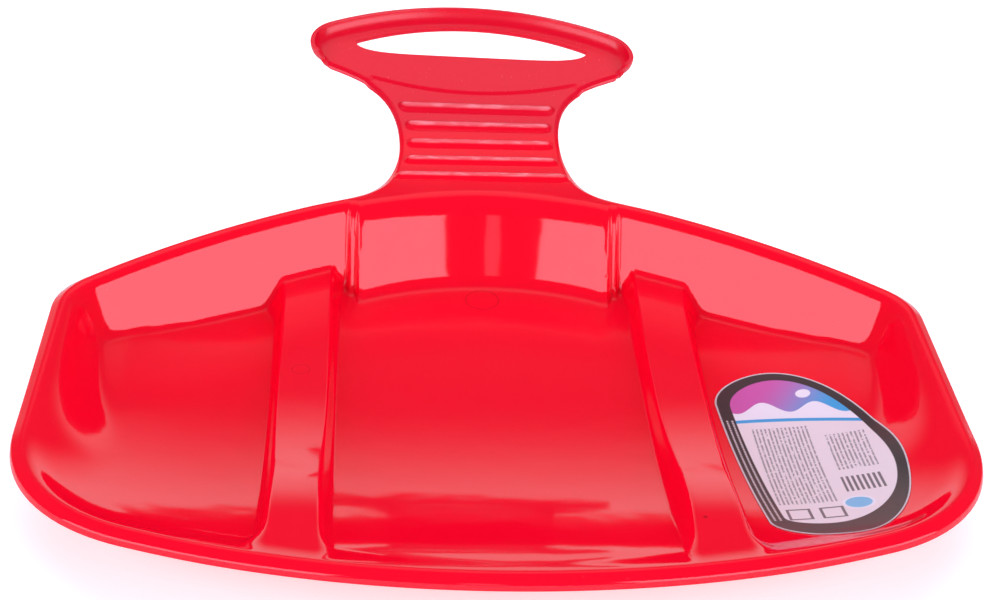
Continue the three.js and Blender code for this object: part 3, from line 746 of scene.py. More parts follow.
    def face(self, x: Points, y: Points) -> Points:
        """Height of the upper face, without the ribs and the rolled edge."""
        pan, neck = self.pan, self.neck
        line = self.step_y + neck.step_bow * (x / neck.step_half) ** 2
        level = self.plate(y) + neck.step_rise * smoothstep(y - line, 0.0, neck.step_run)
        first = smoothstep(np.abs(x), pan.pleat_inner, pan.pleat_inner + pan.pleat_line)
        second = smoothstep(np.abs(x), pan.pleat_outer - pan.pleat_line, pan.pleat_outer)
        outward = (first + second) / 2.0
        panel = (1.0 - outward) * (y > pan.flat_to)
        inset = pan.wall_inset + (pan.panel_inset - pan.wall_inset) * panel
        lean = smoothstep(pan.lean_from - y, 0.0, pan.lean_run)
        side = smoothstep(np.abs(x), pan.ridge_outer + pan.side_from, pan.half - pan.side_full)
        leant = pan.rear_steepness + (pan.side_steepness - pan.rear_steepness) * side
        steepness = pan.wall_steepness + (leant - pan.wall_steepness) * lean
        left = level - self.plain_floor(x, y)
        bowl = lean * side * smoothstep(left, pan.side_foot_low, pan.side_foot_high)
        foot = pan.wall_foot_blend + (pan.side_foot_blend - pan.wall_foot_blend) * bowl
        steepness = steepness + (pan.panel_steepness - steepness) * panel
        distance = self.edge_distance(np.stack([x, y], axis=-1))
        wall = level - (distance - inset) * steepness
        walled = rounded_max(self.floor(x, y, distance), wall, foot)
        inside = rounded_min(level, walled, pan.wall_top_blend)
        return np.where(y > pan.front - pan.roll_width, level, inside)

    def rib(self, x: Points, y: Points) -> Points:
        """Height of the ribs over the neck."""
        neck = self.neck
        index = np.round((y - self.rib_first) / neck.rib_pitch)
        off = (y - self.rib_first - index * neck.rib_pitch) / neck.rib_half_width
        known = (index >= 0) & (index < neck.rib_count) & (np.abs(off) < 1.0)
        rows = np.linspace(self.rib_first - neck.rib_pitch, self.step_y, RIB_END_STEPS)
        ends = self.side_places(rows)[:, 0] - neck.rib_edge_gap
        end = np.interp(y, rows, ends)
        run = np.clip(1.0 - (end - np.abs(x)) / neck.rib_end_run, 0.0, 1.0)
        section = np.sqrt(np.maximum(1.0 - off**2 - run**2, 0.0))
        return np.where(known, neck.rib_height * section, 0.0)

    def side_lengths(self, y: Points) -> Points:
        """Lengths along the edge at which the neck's drawn-in edge has given values of y."""
        starts = self.edge.starts
        return self.edge.length_where(1, y, starts["flare"], starts["end"], self.pan.roll_width)

    def side_places(self, y: Points) -> Points:
        """Places on the neck's drawn-in edge with given values of y."""
        return self.edge.drawn_in(self.side_lengths(y), self.pan.roll_width)

    def lift(self, plan: Points) -> Points:
        """Puts points in plan on the upper face."""
        return np.concatenate([plan, self.face(plan[..., 0], plan[..., 1])[..., None]], axis=-1)

    def build(self) -> bpy.types.Object:
        """Models the moulding.

        Returns:
            The finished object, in the plan's own place.
        """
        nets = self.nets()
        parts = [grid_net(f"net_{name}", net) for name, net in nets.items()]
        shell = joined("moulded_shell", parts)
        with_modifier(shell, "MIRROR", use_axis=(True, False, False), merge_threshold=MERGE)
        upper = len(shell.data.vertices)
        with_modifier(
            shell,
            "SOLIDIFY",
            thickness=self.pan.wall,
            offset=-1.0,
            use_even_offset=False,
            use_quality_normals=True,
        )
        places = coordinates(shell)
        # crest: the ribs' share of their height, from which the material paints a highlight along their
        # tops.
        crest = np.zeros(len(places))
        ribs = self.rib(places[:upper, 0], places[:upper, 1])
        crest[:upper] = ribs / self.neck.rib_height
        places[:upper, 2] += ribs
        warp = smoothstep(places[:, 1], self.waist_y - self.neck.lean_lead, self.opening_tip)
        places[:, 2] -= self.neck.twist * places[:, 0] * warp
        places[:, 0] -= self.neck.lean * warp
        place_vertices(shell, places)
        write_attribute(shell, "crest", crest)
        with_modifier(
            shell,
            "BEVEL",
            width=self.steps.bevel,
            segments=self.steps.bevel_segments,
            limit_method="ANGLE",
            angle_limit=self.steps.bevel_angle,
        )
        select_only(shell)
        bpy.ops.object.shade_smooth_by_angle(angle=self.steps.smooth_angle)
        return shell

    def nets(self) -> dict[str, Points]:
        """The nets of points on the right half of the upper face, by name."""
        pan, neck, steps = self.pan, self.neck, self.steps
        edge, starts, roll = self.edge, self.edge.starts, pan.roll_width
        root_x = neck.root_half - roll
        slope = pan.ridge_side * pan.ridge_rear_height / pan.ridge_height
        columns = chained(
            spaced(0.0, root_x, steps.neck),
            spaced(root_x, pan.pleat_inner, steps.neck),
            spaced(pan.pleat_inner, pan.pleat_outer, steps.pleat),
            spaced(pan.pleat_outer, pan.ridge_inner, steps.pleat),
            spaced(pan.ridge_inner, pan.ridge_inner + slope, steps.ridge_side),
            spaced(pan.ridge_inner + slope, pan.ridge_outer - slope, steps.neck),
            spaced(pan.ridge_outer - slope, pan.ridge_outer, steps.ridge_side),
        )
        root = int(np.argmin(np.abs(columns - root_x)))
        depth = roll + steps.band_width
        ring = EdgePath(**pan.outline(depth, least_radius=steps.ring_radius))

        rear_mark = (starts["rear_corner"] + starts["side"]) / 2
        front_mark = (starts["front_corner"] + starts["front_outer"]) / 2
        ring_rear_mark = (ring.starts["rear_corner"] + ring.starts["side"]) / 2
        ring_front_mark = (ring.starts["front_corner"] + ring.starts["front_outer"]) / 2

        rear_straight = edge.length_where(0, columns, 0.0, starts["side"], roll)
        ring_rear_straight = ring.length_where(0, columns, 0.0, ring.starts["side"], 0.0)
        front_straight = edge.length_where(0, columns[root:], front_mark, starts["shoulder"], roll)
        ring_front_straight = ring.length_where(0, columns, ring_front_mark, ring.length, 0.0)
        corner_run = ring_rear_mark - ring_rear_straight[-1]
        outer_count = round(steps.corner_density * corner_run / steps.floor)
        outward = np.linspace(0.0, 1.0, outer_count + 1) ** steps.corner_power

        def towards(start: float, stop: float) -> Points:
            """Lengths that lie closer near the start."""
            return start + (stop - start) * outward

        rear_lengths = chained(rear_straight, towards(rear_straight[-1], rear_mark))
        ring_rear = chained(ring_rear_straight, towards(ring_rear_straight[-1], ring_rear_mark))
        ring_front = chained(ring_front_straight, towards(ring_front_straight[-1], ring_front_mark))
        front_lengths = chained(front_straight, towards(front_straight[-1], front_mark))

        side_run = ring_front_mark - ring_rear_mark
        fine = steps.front_zone / side_run
        rows = chained(
            spaced(0.0, 1.0 - fine, steps.floor / side_run),
            spaced(1.0 - fine, 1.0, steps.front / side_run),
        )
        side_lengths = rear_mark + rows * (front_mark - rear_mark)
        ring_side = ring_rear_mark + rows * side_run

        rear_ring, front_ring, side_ring = (
            ring.drawn_in(lengths, 0.0) for lengths in (ring_rear, ring_front, ring_side)
        )
        inside = self.inside_net(columns, rear_ring, front_ring, side_ring, rows)

        rear_outer, side_outer, front_outer = (
            edge.drawn_in(lengths, roll) for lengths in (rear_lengths, side_lengths, front_lengths)
        )
        root_y = front_outer[0, 1]
        root_row = np.stack([columns[:root], np.full(root, root_y)], axis=-1)
        front_outer = np.concatenate([root_row, front_outer])
        across = np.linspace(0.0, 1.0, round(steps.band_width / steps.band) + 1)[:, None, None]

        def band(outer: Points, inner: Points) -> Points:
            """The net between two rows of places."""
            return outer[None] + (inner - outer)[None] * across

        ribbed = (neck.rib_count - neck.rib_rows_short) * neck.rib_pitch
        rib_rows = spaced(root_y, self.rib_first + ribbed, steps.rib)
        rib_lengths = self.side_lengths(rib_rows)
        rib_ends = edge.drawn_in(rib_lengths, roll)[:, 0]
        shares = columns[: root + 1] / root_x
        rib_x = rib_ends[:, None] * shares
        neck_net = np.stack([rib_x, np.broadcast_to(rib_rows[:, None], rib_x.shape)], axis=-1)
        shoulder_lengths = np.linspace(rib_lengths[-1], starts["end"], steps.shoulder + 1)
        shoulder = self.shoulder_net(neck_net[-1], shoulder_lengths)
        grip_lengths = np.linspace(starts["end"], edge.length, steps.grip + 1)
        grip = self.grip_net(grip_lengths)
        boundary = chained(
            rear_lengths, side_lengths, front_lengths[::-1], rib_lengths, shoulder_lengths, grip_lengths
        )
        return {
            "inside": self.lift(inside),
            "rear_band": self.lift(band(rear_outer, rear_ring)),
            "side_band": self.lift(band(side_outer, side_ring)),
            "front_band": self.lift(band(front_outer, front_ring)),
            "neck": self.lift(neck_net),
            "shoulder": self.lift(shoulder),
            "grip": self.lift(grip),
            "roll": self.roll_net(boundary),
        }

    def inside_net(
        self, columns: Points, rear: Points, front: Points, side: Points, rows: Points
    ) -> Points:
        """The floor's net: straight lines along Y to the ridges, and a patch out to the side.

        Args:
            columns: The x of the straight lines.
            rear: The ring's places along the rear, from the middle to the corner.
            front: The same along the front.
            side: The ring's places along the side, from the rear to the front.
            rows: The shares of the way to the front at which the rows lie.

        Returns:
            The net, as rows of columns.
        """
        count = len(columns)
        straight_y = rear[:count, 1] + rows[:, None] * (front[:count, 1] - rear[:count, 1])
        straight = np.stack([np.broadcast_to(columns, straight_y.shape), straight_y], axis=-1)
        outer_rear, outer_front = rear[count - 1 :], front[count - 1 :]
        start = straight[:, -1]
        u = np.linspace(0.0, 1.0, len(outer_rear))[None, :, None]
        v = rows[:, None, None]
        patch = (1 - v) * outer_rear[None] + v * outer_front[None]
        patch = patch + (1 - u) * start[:, None] + u * side[:, None]
        patch = patch - (1 - u) * (1 - v) * outer_rear[0] - (1 - u) * v * outer_front[0]
        patch = patch - u * (1 - v) * outer_rear[-1] - u * v * outer_front[-1]
        return np.concatenate([straight, patch[:, 1:]], axis=1)

    def opening_row(self) -> Points:
        """Places along the opening's straight edge, and past its tip to the handle's end."""
        neck, steps = self.neck, self.steps
        total = len(spaced(0.0, neck.root_half - self.pan.roll_width, steps.neck)) - 1
        way = np.linspace(0.0, 1.0, total - steps.grip_across + 1)
        even = steps.opening_even
        x = neck.opening_half * (even * way + (1.0 - even) * np.sin(way * math.pi / 2))
        drop = neck.opening_tip_rise * np.sqrt(1.0 - (x / neck.opening_half) ** neck.opening_power)
        along = np.stack([x, self.opening_tip - drop], axis=-1)
        end = self.edge.drawn_in(self.edge.starts["end"], self.pan.roll_width)[0]
        shares = np.linspace(0.0, 1.0, steps.grip_across + 1)[1:, None]
        return np.concatenate([along, along[-1] + (end - along[-1]) * shares])

    def shoulder_net(self, first: Points, lengths: Points) -> Points:
        """The net from the neck's last straight row to the opening's straight edge.

        Args:
            first: The straight row.
            lengths: Where the rows meet the edge.

        Returns:
            The net, as rows of columns.
        """
        last = self.opening_row()
        edge = self.edge.drawn_in(lengths, self.pan.roll_width)
        share, bend = shares_of(lengths)[:, None], self.steps.shoulder_bend
        early = 1.0 - (1.0 - share) ** self.steps.shoulder_start
        start, stop = first[:, 0] / first[-1, 0], last[:, 0] / last[-1, 0]
        part = start + (stop - start) * early
        level = first[:, 1] + (self.opening_front - first[:, 1]) * share
        level = level + (last[:, 1] - self.opening_front) * share**bend
        level = level + (edge[:, 1:] - level[:, -1:]) * part**bend
        return np.stack([edge[:, :1] * part, level], axis=-1)

    def grip_net(self, lengths: Points) -> Points:
        """The net of the grip between the opening's arched edge and the drawn-in edge."""
        neck, steps = self.neck, self.steps
        half, height = neck.opening_half, neck.opening_arch_rise
        radius = (half**2 + height**2) / (2.0 * height)
        bearing = np.linspace(math.asin(half / radius), 0.0, len(lengths))
        x = radius * np.sin(bearing)
        y = self.opening_tip + height - radius * (1.0 - np.cos(bearing))
        inner = np.stack([x, y], axis=-1)
        outer = self.edge.drawn_in(lengths, self.pan.roll_width)
        shares = np.linspace(0.0, 1.0, steps.grip_across + 1)[:, None, None]
        return inner[None] + (outer - inner)[None] * shares

    def roll_net(self, lengths: Points) -> Points:
        """The net of the rolled edge. Past the handle's tips it turns up, as the lip."""
        pan, neck = self.pan, self.neck
        inner = self.edge.drawn_in(lengths, pan.roll_width)
        tip = self.edge.starts["tip"]
        up = smoothstep(lengths, tip - neck.lip_run, tip + neck.lip_past * neck.lip_run)
        past_rim = smoothstep(inner[:, 1], pan.front - neck.rim_before, pan.front + neck.rim_past)
        drop = pan.roll_drop + (neck.roll_drop - pan.roll_drop) * past_rim
        flat = neck.roll_flat * past_rim
        base = self.face(inner[:, 0], inner[:, 1]) - self.plate(inner[:, 1])
        rows, ease = [], pan.roll_ease
        for turn in np.linspace(0.0, math.pi / 2, self.steps.roll + 1):
            point = self.edge.drawn_in(lengths, pan.roll_width * (1.0 - math.sin(turn)))
            share = np.clip((math.sin(turn) - flat) / (1.0 - flat), 0.0, 1.0)
            fall = np.where(share < ease, share**2 / (2.0 * ease), share - ease / 2.0)
            steep = np.clip((share - pan.brink) / (1.0 - pan.brink), 0.0, 1.0) ** 2
            fall = pan.roll_gentle * fall / (1.0 - ease / 2.0) + (1.0 - pan.roll_gentle) * steep
            height = base + self.plate(point[:, 1]) - drop * (1.0 - up) * fall
            height = height + neck.lip_height * up * (1.0 - math.cos(turn))
            rows.append(np.concatenate([point, height[:, None]], axis=-1))
        net = np.stack(rows)
        net[:, [0, -1], 0] = 0.0
        return net


@dataclass(frozen=True)
class LabelShape:
    """A rounded outline with one straight edge, between four limits in plan."""

    left: float
    right: float
    rear: float
    front: float
    straight_from: float
    straight_across: float
    straight_to: float
    widest: float
    rear_share: float
    front_share: float
    rounding: float = 0.52

    def sides(self) -> tuple[Callable[[Points], Points], Callable[[Points], Points]]:
        """The two ways from the rearmost point to the foremost one, by share."""

        def point(across: float, along: float) -> Points:
            """A place by its shares of the width and the length."""
            x = self.left + (self.right - self.left) * across
            return np.array([x, self.rear + (self.front - self.rear) * along])

        def quarter(start: Points, stop: Points, corner: Points) -> Sweep:
            """A rounded corner of the outline."""
            first = start + (corner - start) * self.rounding
            last = stop + (corner - stop) * self.rounding
            return Sweep((tuple(start), tuple(first), tuple(last), tuple(stop)))

        rear, front = point(self.rear_share, 0), point(self.front_share, 1)
        low, high = point(self.straight_across, self.straight_from), point(0, self.straight_to)
        wide = point(1, self.widest)
        inner = EdgePath(
            turn=quarter(rear, low, point(self.straight_across, 0)),
            straight=Straight(tuple(low), tuple(high)),
            corner=quarter(high, front, point(0, 1)),
        )
        outer = EdgePath(
            rear=quarter(rear, wide, point(1, 0)),
            front=quarter(wide, front, point(1, 1)),
        )
        return (
            lambda share: inner.drawn_in(share * inner.length, 0.0),
            lambda share: outer.drawn_in(share * outer.length, 0.0),
        )

    def depth(self, points: Points) -> Points:
        """How far inside the outline points in plan lie; less than 0 outside."""
        inner, outer = self.sides()
        share = np.linspace(0.0, 1.0, OUTLINE_STEPS)
        start = np.concatenate([inner(share), outer(share)[::-1][1:-1]])
        stop = np.roll(start, -1, axis=0)
        way = stop - start
        depths = []
        for part in np.array_split(points, max(1, len(points) // DEPTH_BATCH)):
            offset = part[:, None] - start
            along = np.clip(np.sum(offset * way, axis=-1) / np.sum(way * way, axis=-1), 0.0, 1.0)
            gap = np.linalg.norm(offset - along[..., None] * way, axis=-1).min(axis=1)
            across = (start[:, 1] > part[:, None, 1]) != (stop[:, 1] > part[:, None, 1])
            rise = np.where(np.abs(way[:, 1]) > TINY, way[:, 1], TINY)
            meets = start[:, 0] + offset[..., 1] * way[:, 0] / rise
            inside = np.sum(across & (part[:, None, 0] < meets), axis=1) % 2 == 1
            depths.append(np.where(inside, gap, -gap))
        return np.concatenate(depths)


@dataclass
class ProductLabel:
    """The thin label in the right bay, whose print is a generic design."""

    shell: SliderShell
    gap: float = 0.15 * MM
    thickness: float = 0.3 * MM
    ridge_gap: float = 2.8 * MM
    side_gap: float = 32.5 * MM
    rear_gap: float = 50 * MM
    length: float = 186.5 * MM
    panel_left: float = 7.7 * MM
    panel_right: float = 5.7 * MM
    panel_rear: float = 16.5 * MM
    panel_front: float = 7.5 * MM
    picture_y: float = -7.0 * MM
    picture_bow: float = 4.0
    picture_x: float = 140.0 * MM
    rows: int = 171
    columns: int = 71
    smooth_angle: float = math.radians(40)

    @property
    def sheet(self) -> LabelShape:
        """The label's own outline."""
        pan = self.shell.pan
        left, right = pan.ridge_outer + self.ridge_gap, pan.half - self.side_gap
        rear = pan.rear + self.rear_gap
        return LabelShape(
            left,
            right,
            rear,
            rear + self.length,
            straight_from=0.12,
            straight_across=0.085,
            straight_to=0.842,
            widest=0.445,
            rear_share=0.525,
            front_share=0.347,
        )

    @property
    def panel(self) -> LabelShape:
        """The outline of the printed panel inside the dark band."""
        sheet = self.sheet
        return LabelShape(
            sheet.left + self.panel_left,
            sheet.right - self.panel_right,
            sheet.rear + self.panel_rear,
            sheet.front - self.panel_front,
            straight_from=0.065,
            straight_across=0.106,
            straight_to=0.85,
            widest=0.4,
            rear_share=0.42,
            front_share=0.33,
        )

    def build(self) -> bpy.types.Object:
        """Models the label.

        Returns:
            The finished object, in the plan's own place, with the depths inside its outlines.
        """
        inner, outer = self.sheet.sides()
        along = np.linspace(0.0, 1.0, self.rows)
        left, right = inner(along), outer(along)
        across = np.linspace(0.0, 1.0, self.columns)[None, :, None]
        plan = left[:, None] + (right - left)[:, None] * across
        sheet = joined("label_sheet", [grid_net("label_net", self.shell.lift(plan))])
        normals = np.zeros(len(sheet.data.vertices) * 3)
        sheet.data.vertices.foreach_get("normal", normals)
        places = coordinates(sheet) + normals.reshape(-1, 3) * (self.gap + self.thickness)
        place_vertices(sheet, places)
        with_modifier(sheet, "SOLIDIFY", thickness=self.thickness, offset=-1.0)
        flat = coordinates(sheet)[:, :2]
        write_attribute(sheet, "band_depth", self.sheet.depth(flat) / MM)
        write_attribute(sheet, "panel_depth", self.panel.depth(flat) / MM)
        line = self.picture_y - self.picture_bow * (flat[:, 0] - self.picture_x) ** 2
        write_attribute(sheet, "picture_depth", (flat[:, 1] - line) / MM)
        select_only(sheet)
        bpy.ops.object.shade_smooth_by_angle(angle=self.smooth_angle)
        return sheet


class Sheet:
    """A node tree, with short ways to add nodes to it and to link them."""

    def __init__(self, tree: bpy.types.NodeTree) -> None:
        """Takes the tree."""
        self.tree = tree

    def add(self, kind: str, inputs: dict | None = None, **settings: object) -> bpy.types.Node:
        """Adds a node.

        Args:
            kind: The node's type.
            inputs: Values for its inputs, or sockets that are linked to them.
            settings: The node's own settings.

        Returns:
            The node.
        """
        node = self.tree.nodes.new(kind)
        for name, value in settings.items():
            setattr(node, name, value)
        self.feed(node, inputs or {})
        return node

    def feed(self, node: bpy.types.Node, inputs: dict) -> None:
        """Gives a node's inputs their values, or links them to sockets."""
        for key, value in inputs.items():
            if isinstance(value, Socket):
                self.tree.links.new(value, node.inputs[key])
            else:
                node.inputs[key].default_value = value

    def shade(self, inputs: dict) -> None:
        """Gives the material's own shader its inputs."""
        self.feed(self.tree.nodes["Principled BSDF"], inputs)

    def math(self, operation: str, *values: object) -> Socket:
        """The result of an operation on numbers."""
        return self.add("ShaderNodeMath", dict(enumerate(values)), operation=operation).outputs[0]

    def vector(self, operation: str, first: object, second: object) -> bpy.types.NodeOutputs:
        """The results of an operation on vectors, by name."""
        return self.add("ShaderNodeVectorMath", {0: first, 1: second}, operation=operation).outputs

    def split(self, where: Socket) -> bpy.types.NodeOutputs:
        """A vector's parts, by name."""
        return self.add("ShaderNodeSeparateXYZ", {0: where}).outputs

    def weighted(self, base: object, *terms: tuple[Socket, float]) -> Socket:
        """A base with each term's value added, times its weight."""
        for value, weight in terms:
            base = self.math("ADD", base, self.math("MULTIPLY", value, weight))
        return base

    def product(self, first: Socket, *more: object) -> Socket:
        """All the values multiplied."""
        for value in more:
            first = self.math("MULTIPLY", first, value)
        return first

    def ramp(self, value: object, low: object, high: object) -> Socket:
        """Eases from 0 to 1 as a value goes from low to high."""
        inputs = {"Value": value, "From Min": low, "From Max": high}
        return self.add("ShaderNodeMapRange", inputs, interpolation_type="SMOOTHSTEP").outputs[0]

    def mix(self, share: object, first: object, second: object) -> Socket:
        """Mixes two colours."""
        inputs = {0: share, 6: first, 7: second}
        return self.add("ShaderNodeMix", inputs, data_type="RGBA").outputs[2]

    def noise(self, where: object, scale: object, detail: float = 3.0) -> Socket:
        """A cloudy number from 0 to 1."""
        inputs = {"Vector": where, "Scale": scale, "Detail": detail}
        return self.add("ShaderNodeTexNoise", inputs).outputs["Fac"]

    def bump(self, height: Socket, strength: float) -> Socket:
        """The direction of a face that a height makes slightly uneven."""
        inputs = {"Strength": strength, "Distance": BUMP_DEPTH, "Height": height}
        return self.add("ShaderNodeBump", inputs).outputs[0]

    def attribute(self, name: str) -> Socket:
        """A number that the mesh carries."""
        return self.add("ShaderNodeAttribute", attribute_name=name).outputs["Fac"]

    def plan(self, offset: Vector) -> Socket:
        """The place on the object in the plan's own millimetres."""
        where = self.add("ShaderNodeTexCoord").outputs["Object"]
        shift = tuple(-length / MM for length in offset)
        inputs = {"Vector": where, "Location": shift, "Scale": (1 / MM,) * 3}
        return self.add("ShaderNodeMapping", inputs).outputs[0]

    def use(self, group: bpy.types.NodeTree, **inputs: object) -> Socket:
        """Adds a node group whose inputs are given by name, and hands back its first output."""
        titled = {name.title(): value for name, value in inputs.items()}
        return self.add("ShaderNodeGroup", titled, node_tree=group).outputs[0]


def new_material(name: str) -> tuple[bpy.types.Material, Sheet]:
    """Makes a material, and hands it back with its node tree."""
    material = bpy.data.materials.new(name)
    material.use_nodes = True
    return material, Sheet(material.node_tree)


def new_group(
    name: str, inputs: dict[str, str], work: Callable[[Sheet, dict], Socket]
) -> bpy.types.NodeTree:
    """Makes a node group with one output, a mask.

    Args:
        name: The group's name.
        inputs: The kinds of its inputs, by name.
        work: Fills the group, given its sheet and its inputs' sockets by name.

    Returns:
        The group.
    """
    group = bpy.data.node_groups.new(name, "ShaderNodeTree")
    for key, kind in inputs.items():
        group.interface.new_socket(name=key, in_out="INPUT", socket_type=f"NodeSocket{kind}")
    group.interface.new_socket(name="Mask", in_out="OUTPUT", socket_type="NodeSocketFloat")
    sheet = Sheet(group)
    source = sheet.add("NodeGroupInput")
    sockets = {key: source.outputs[key] for key in inputs}
    sheet.add("NodeGroupOutput", {"Mask": work(sheet, sockets)})
    return group


@dataclass(frozen=True)
class EffectSizes:
    """The fixed parts of the shared node groups. Lengths are millimetres."""

    scratch_stretch: Place = (1.0, 0.035, 1.0)
    scratch_detail: float = 2.0
    scratch_level: float = 0.78
    scratch_wear: float = 0.2
    scratch_edge: float = 0.05
    # The crest group's sizes: a painted highlight along the crests, broken in patches like scuffs.
    scuff_stretch: Place = (0.3, 1.0, 1.0)
    scuff_patches: Pair = (0.42, 0.7)
    highlight_least: float = 0.4
    highlight_patch_more: float = 0.6
    highlight_crest: Pair = (0.74, 1.0)
    dust_speck: Pair = (0.12, 0.03)
    dust_scale: float = 0.03
    dust_patches: Pair = (0.48, 0.62)
    box_edge: float = 0.25
    stripe_edge: float = 0.08


class Effects:
    """The node groups that the materials share."""

    def __init__(self) -> None:
        """Makes the groups."""
        self.sizes = EffectSizes()
        place = {"Vector": "Vector", "Scale": "Float"}
        crest_inputs = {**place, "Crest": "Float", "Amount": "Float"}
        ring = {"Vector": "Vector", "Centre": "Vector", "Radius": "Float", "Width": "Float"}
        corners = {"Vector": "Vector", "Low": "Vector", "High": "Vector"}
        stripes = {"Value": "Float", "Period": "Float", "Share": "Float"}
        self.scratches = new_group("fine_scratches", {**place, "Wear": "Float"}, self.fine_scratches)
        # Painted highlight: a pale line along the rib crests, in place of the light that their tops
        # reflect.
        self.highlight_and_scuffs = new_group("crest_highlight_and_scuffs", crest_inputs, self.crest_highlight_and_scuffs)
        self.dust = new_group("fine_dust", place, self.fine_dust)
        self.ring = new_group("ring_mark", ring, self.ring_mark)
        self.box = new_group("box_mask", corners, self.box_mask)
        self.stripes = new_group("stripe_mask", stripes, self.stripe_mask)

    def fine_scratches(self, sheet: Sheet, given: dict) -> Socket:
        """Thin streaks along Y, more of them where the wear is greater."""
        sizes = self.sizes
        drawn = sheet.vector("MULTIPLY", given["Vector"], sizes.scratch_stretch)["Vector"]
        streaks = sheet.noise(drawn, given["Scale"], sizes.scratch_detail)
        level = sheet.weighted(sizes.scratch_level, (given["Wear"], -sizes.scratch_wear))
        return sheet.ramp(streaks, level, sheet.math("ADD", level, sizes.scratch_edge))

    def crest_highlight_and_scuffs(self, sheet: Sheet, given: dict) -> Socket:
        """A painted highlight along the crests of raised features, stronger in patches like scuffs."""
        sizes = self.sizes
        drawn = sheet.vector("MULTIPLY", given["Vector"], sizes.scuff_stretch)["Vector"]
        patches = sheet.ramp(sheet.noise(drawn, given["Scale"]), *sizes.scuff_patches)
        share = sheet.weighted(sizes.highlight_least, (patches, sizes.highlight_patch_more))
        return sheet.product(sheet.ramp(given["Crest"], *sizes.highlight_crest), share, given["Amount"])

    def fine_dust(self, sheet: Sheet, given: dict) -> Socket:
        """Small specks of dust, thinned out in patches."""
        sizes = self.sizes
        inputs = {"Vector": given["Vector"], "Scale": given["Scale"]}
        cells = sheet.add("ShaderNodeTexVoronoi", inputs).outputs["Distance"]
        patches = sheet.ramp(sheet.noise(given["Vector"], sizes.dust_scale), *sizes.dust_patches)
        return sheet.product(sheet.ramp(cells, *sizes.dust_speck), patches)

    def ring_mark(self, sheet: Sheet, given: dict) -> Socket:
        """A thin round line about a place in plan."""
        flat = sheet.vector("MULTIPLY", given["Vector"], (1, 1, 0))["Vector"]
        away = sheet.vector("DISTANCE", flat, given["Centre"])["Value"]
        off = sheet.math("ABSOLUTE", sheet.math("SUBTRACT", away, given["Radius"]))
        return sheet.ramp(off, given["Width"], 0.0)

    def box_mask(self, sheet: Sheet, given: dict) -> Socket:
        """The inside of a box in plan, between its low and its high corner."""
        gaps = []
        for first, second in (("Vector", "Low"), ("High", "Vector")):
            gap = sheet.split(sheet.vector("SUBTRACT", given[first], given[second])["Vector"])
            gaps.append(sheet.math("MINIMUM", gap["X"], gap["Y"]))
        return sheet.ramp(sheet.math("MINIMUM", *gaps), 0.0, self.sizes.box_edge)

    def stripe_mask(self, sheet: Sheet, given: dict) -> Socket:
        """Even stripes over a value, each as wide as a share of the period."""
        turn = sheet.math("FRACT", sheet.math("DIVIDE", given["Value"], given["Period"]))
        edge = sheet.math("SUBTRACT", given["Share"], self.sizes.stripe_edge)
        return sheet.ramp(turn, given["Share"], edge)


class Pen:
    """Draws masks on a material, in the plan's own millimetres."""

    def __init__(self, sheet: Sheet, effects: Effects, offset: Vector) -> None:
        """Takes the tree, the shared groups and the way from the plan's place to the frame."""
        self.sheet, self.effects = sheet, effects
        self.where = sheet.plan(offset)
        parts = sheet.split(self.where)
        self.x, self.y = parts["X"], parts["Y"]

    def draw(self, group: bpy.types.NodeTree, **inputs: object) -> Socket:
        """Uses a group that works on the place in plan."""
        return self.sheet.use(group, vector=self.where, **inputs)

    def stripes(self, value: Socket, period: float, share: float) -> Socket:
        """Even stripes over a value."""
        return self.sheet.use(self.effects.stripes, value=value, period=period, share=share)

    def block(self, corners: Corners, inset: float = 0.0) -> Socket:
        """The inside of a box, drawn in by the inset."""
        low = (*(value + inset for value in corners[0]), 0.0)
        high = (*(value - inset for value in corners[1]), 0.0)
        return self.draw(self.effects.box, low=low, high=high)

    def disc(self, centre: Place, radius: float, edge: float) -> Socket:
        """A round spot whose edge takes a share of its radius."""
        cone = self.draw(self.effects.ring, centre=centre, radius=0.0, width=radius)
        return self.sheet.ramp(cone, 0.0, edge)


@dataclass(frozen=True)
class Mark:
    """A round mark of the mould. Lengths are the plan's own millimetres."""

    centre: Place
    radius: float
    width: float
    share: float


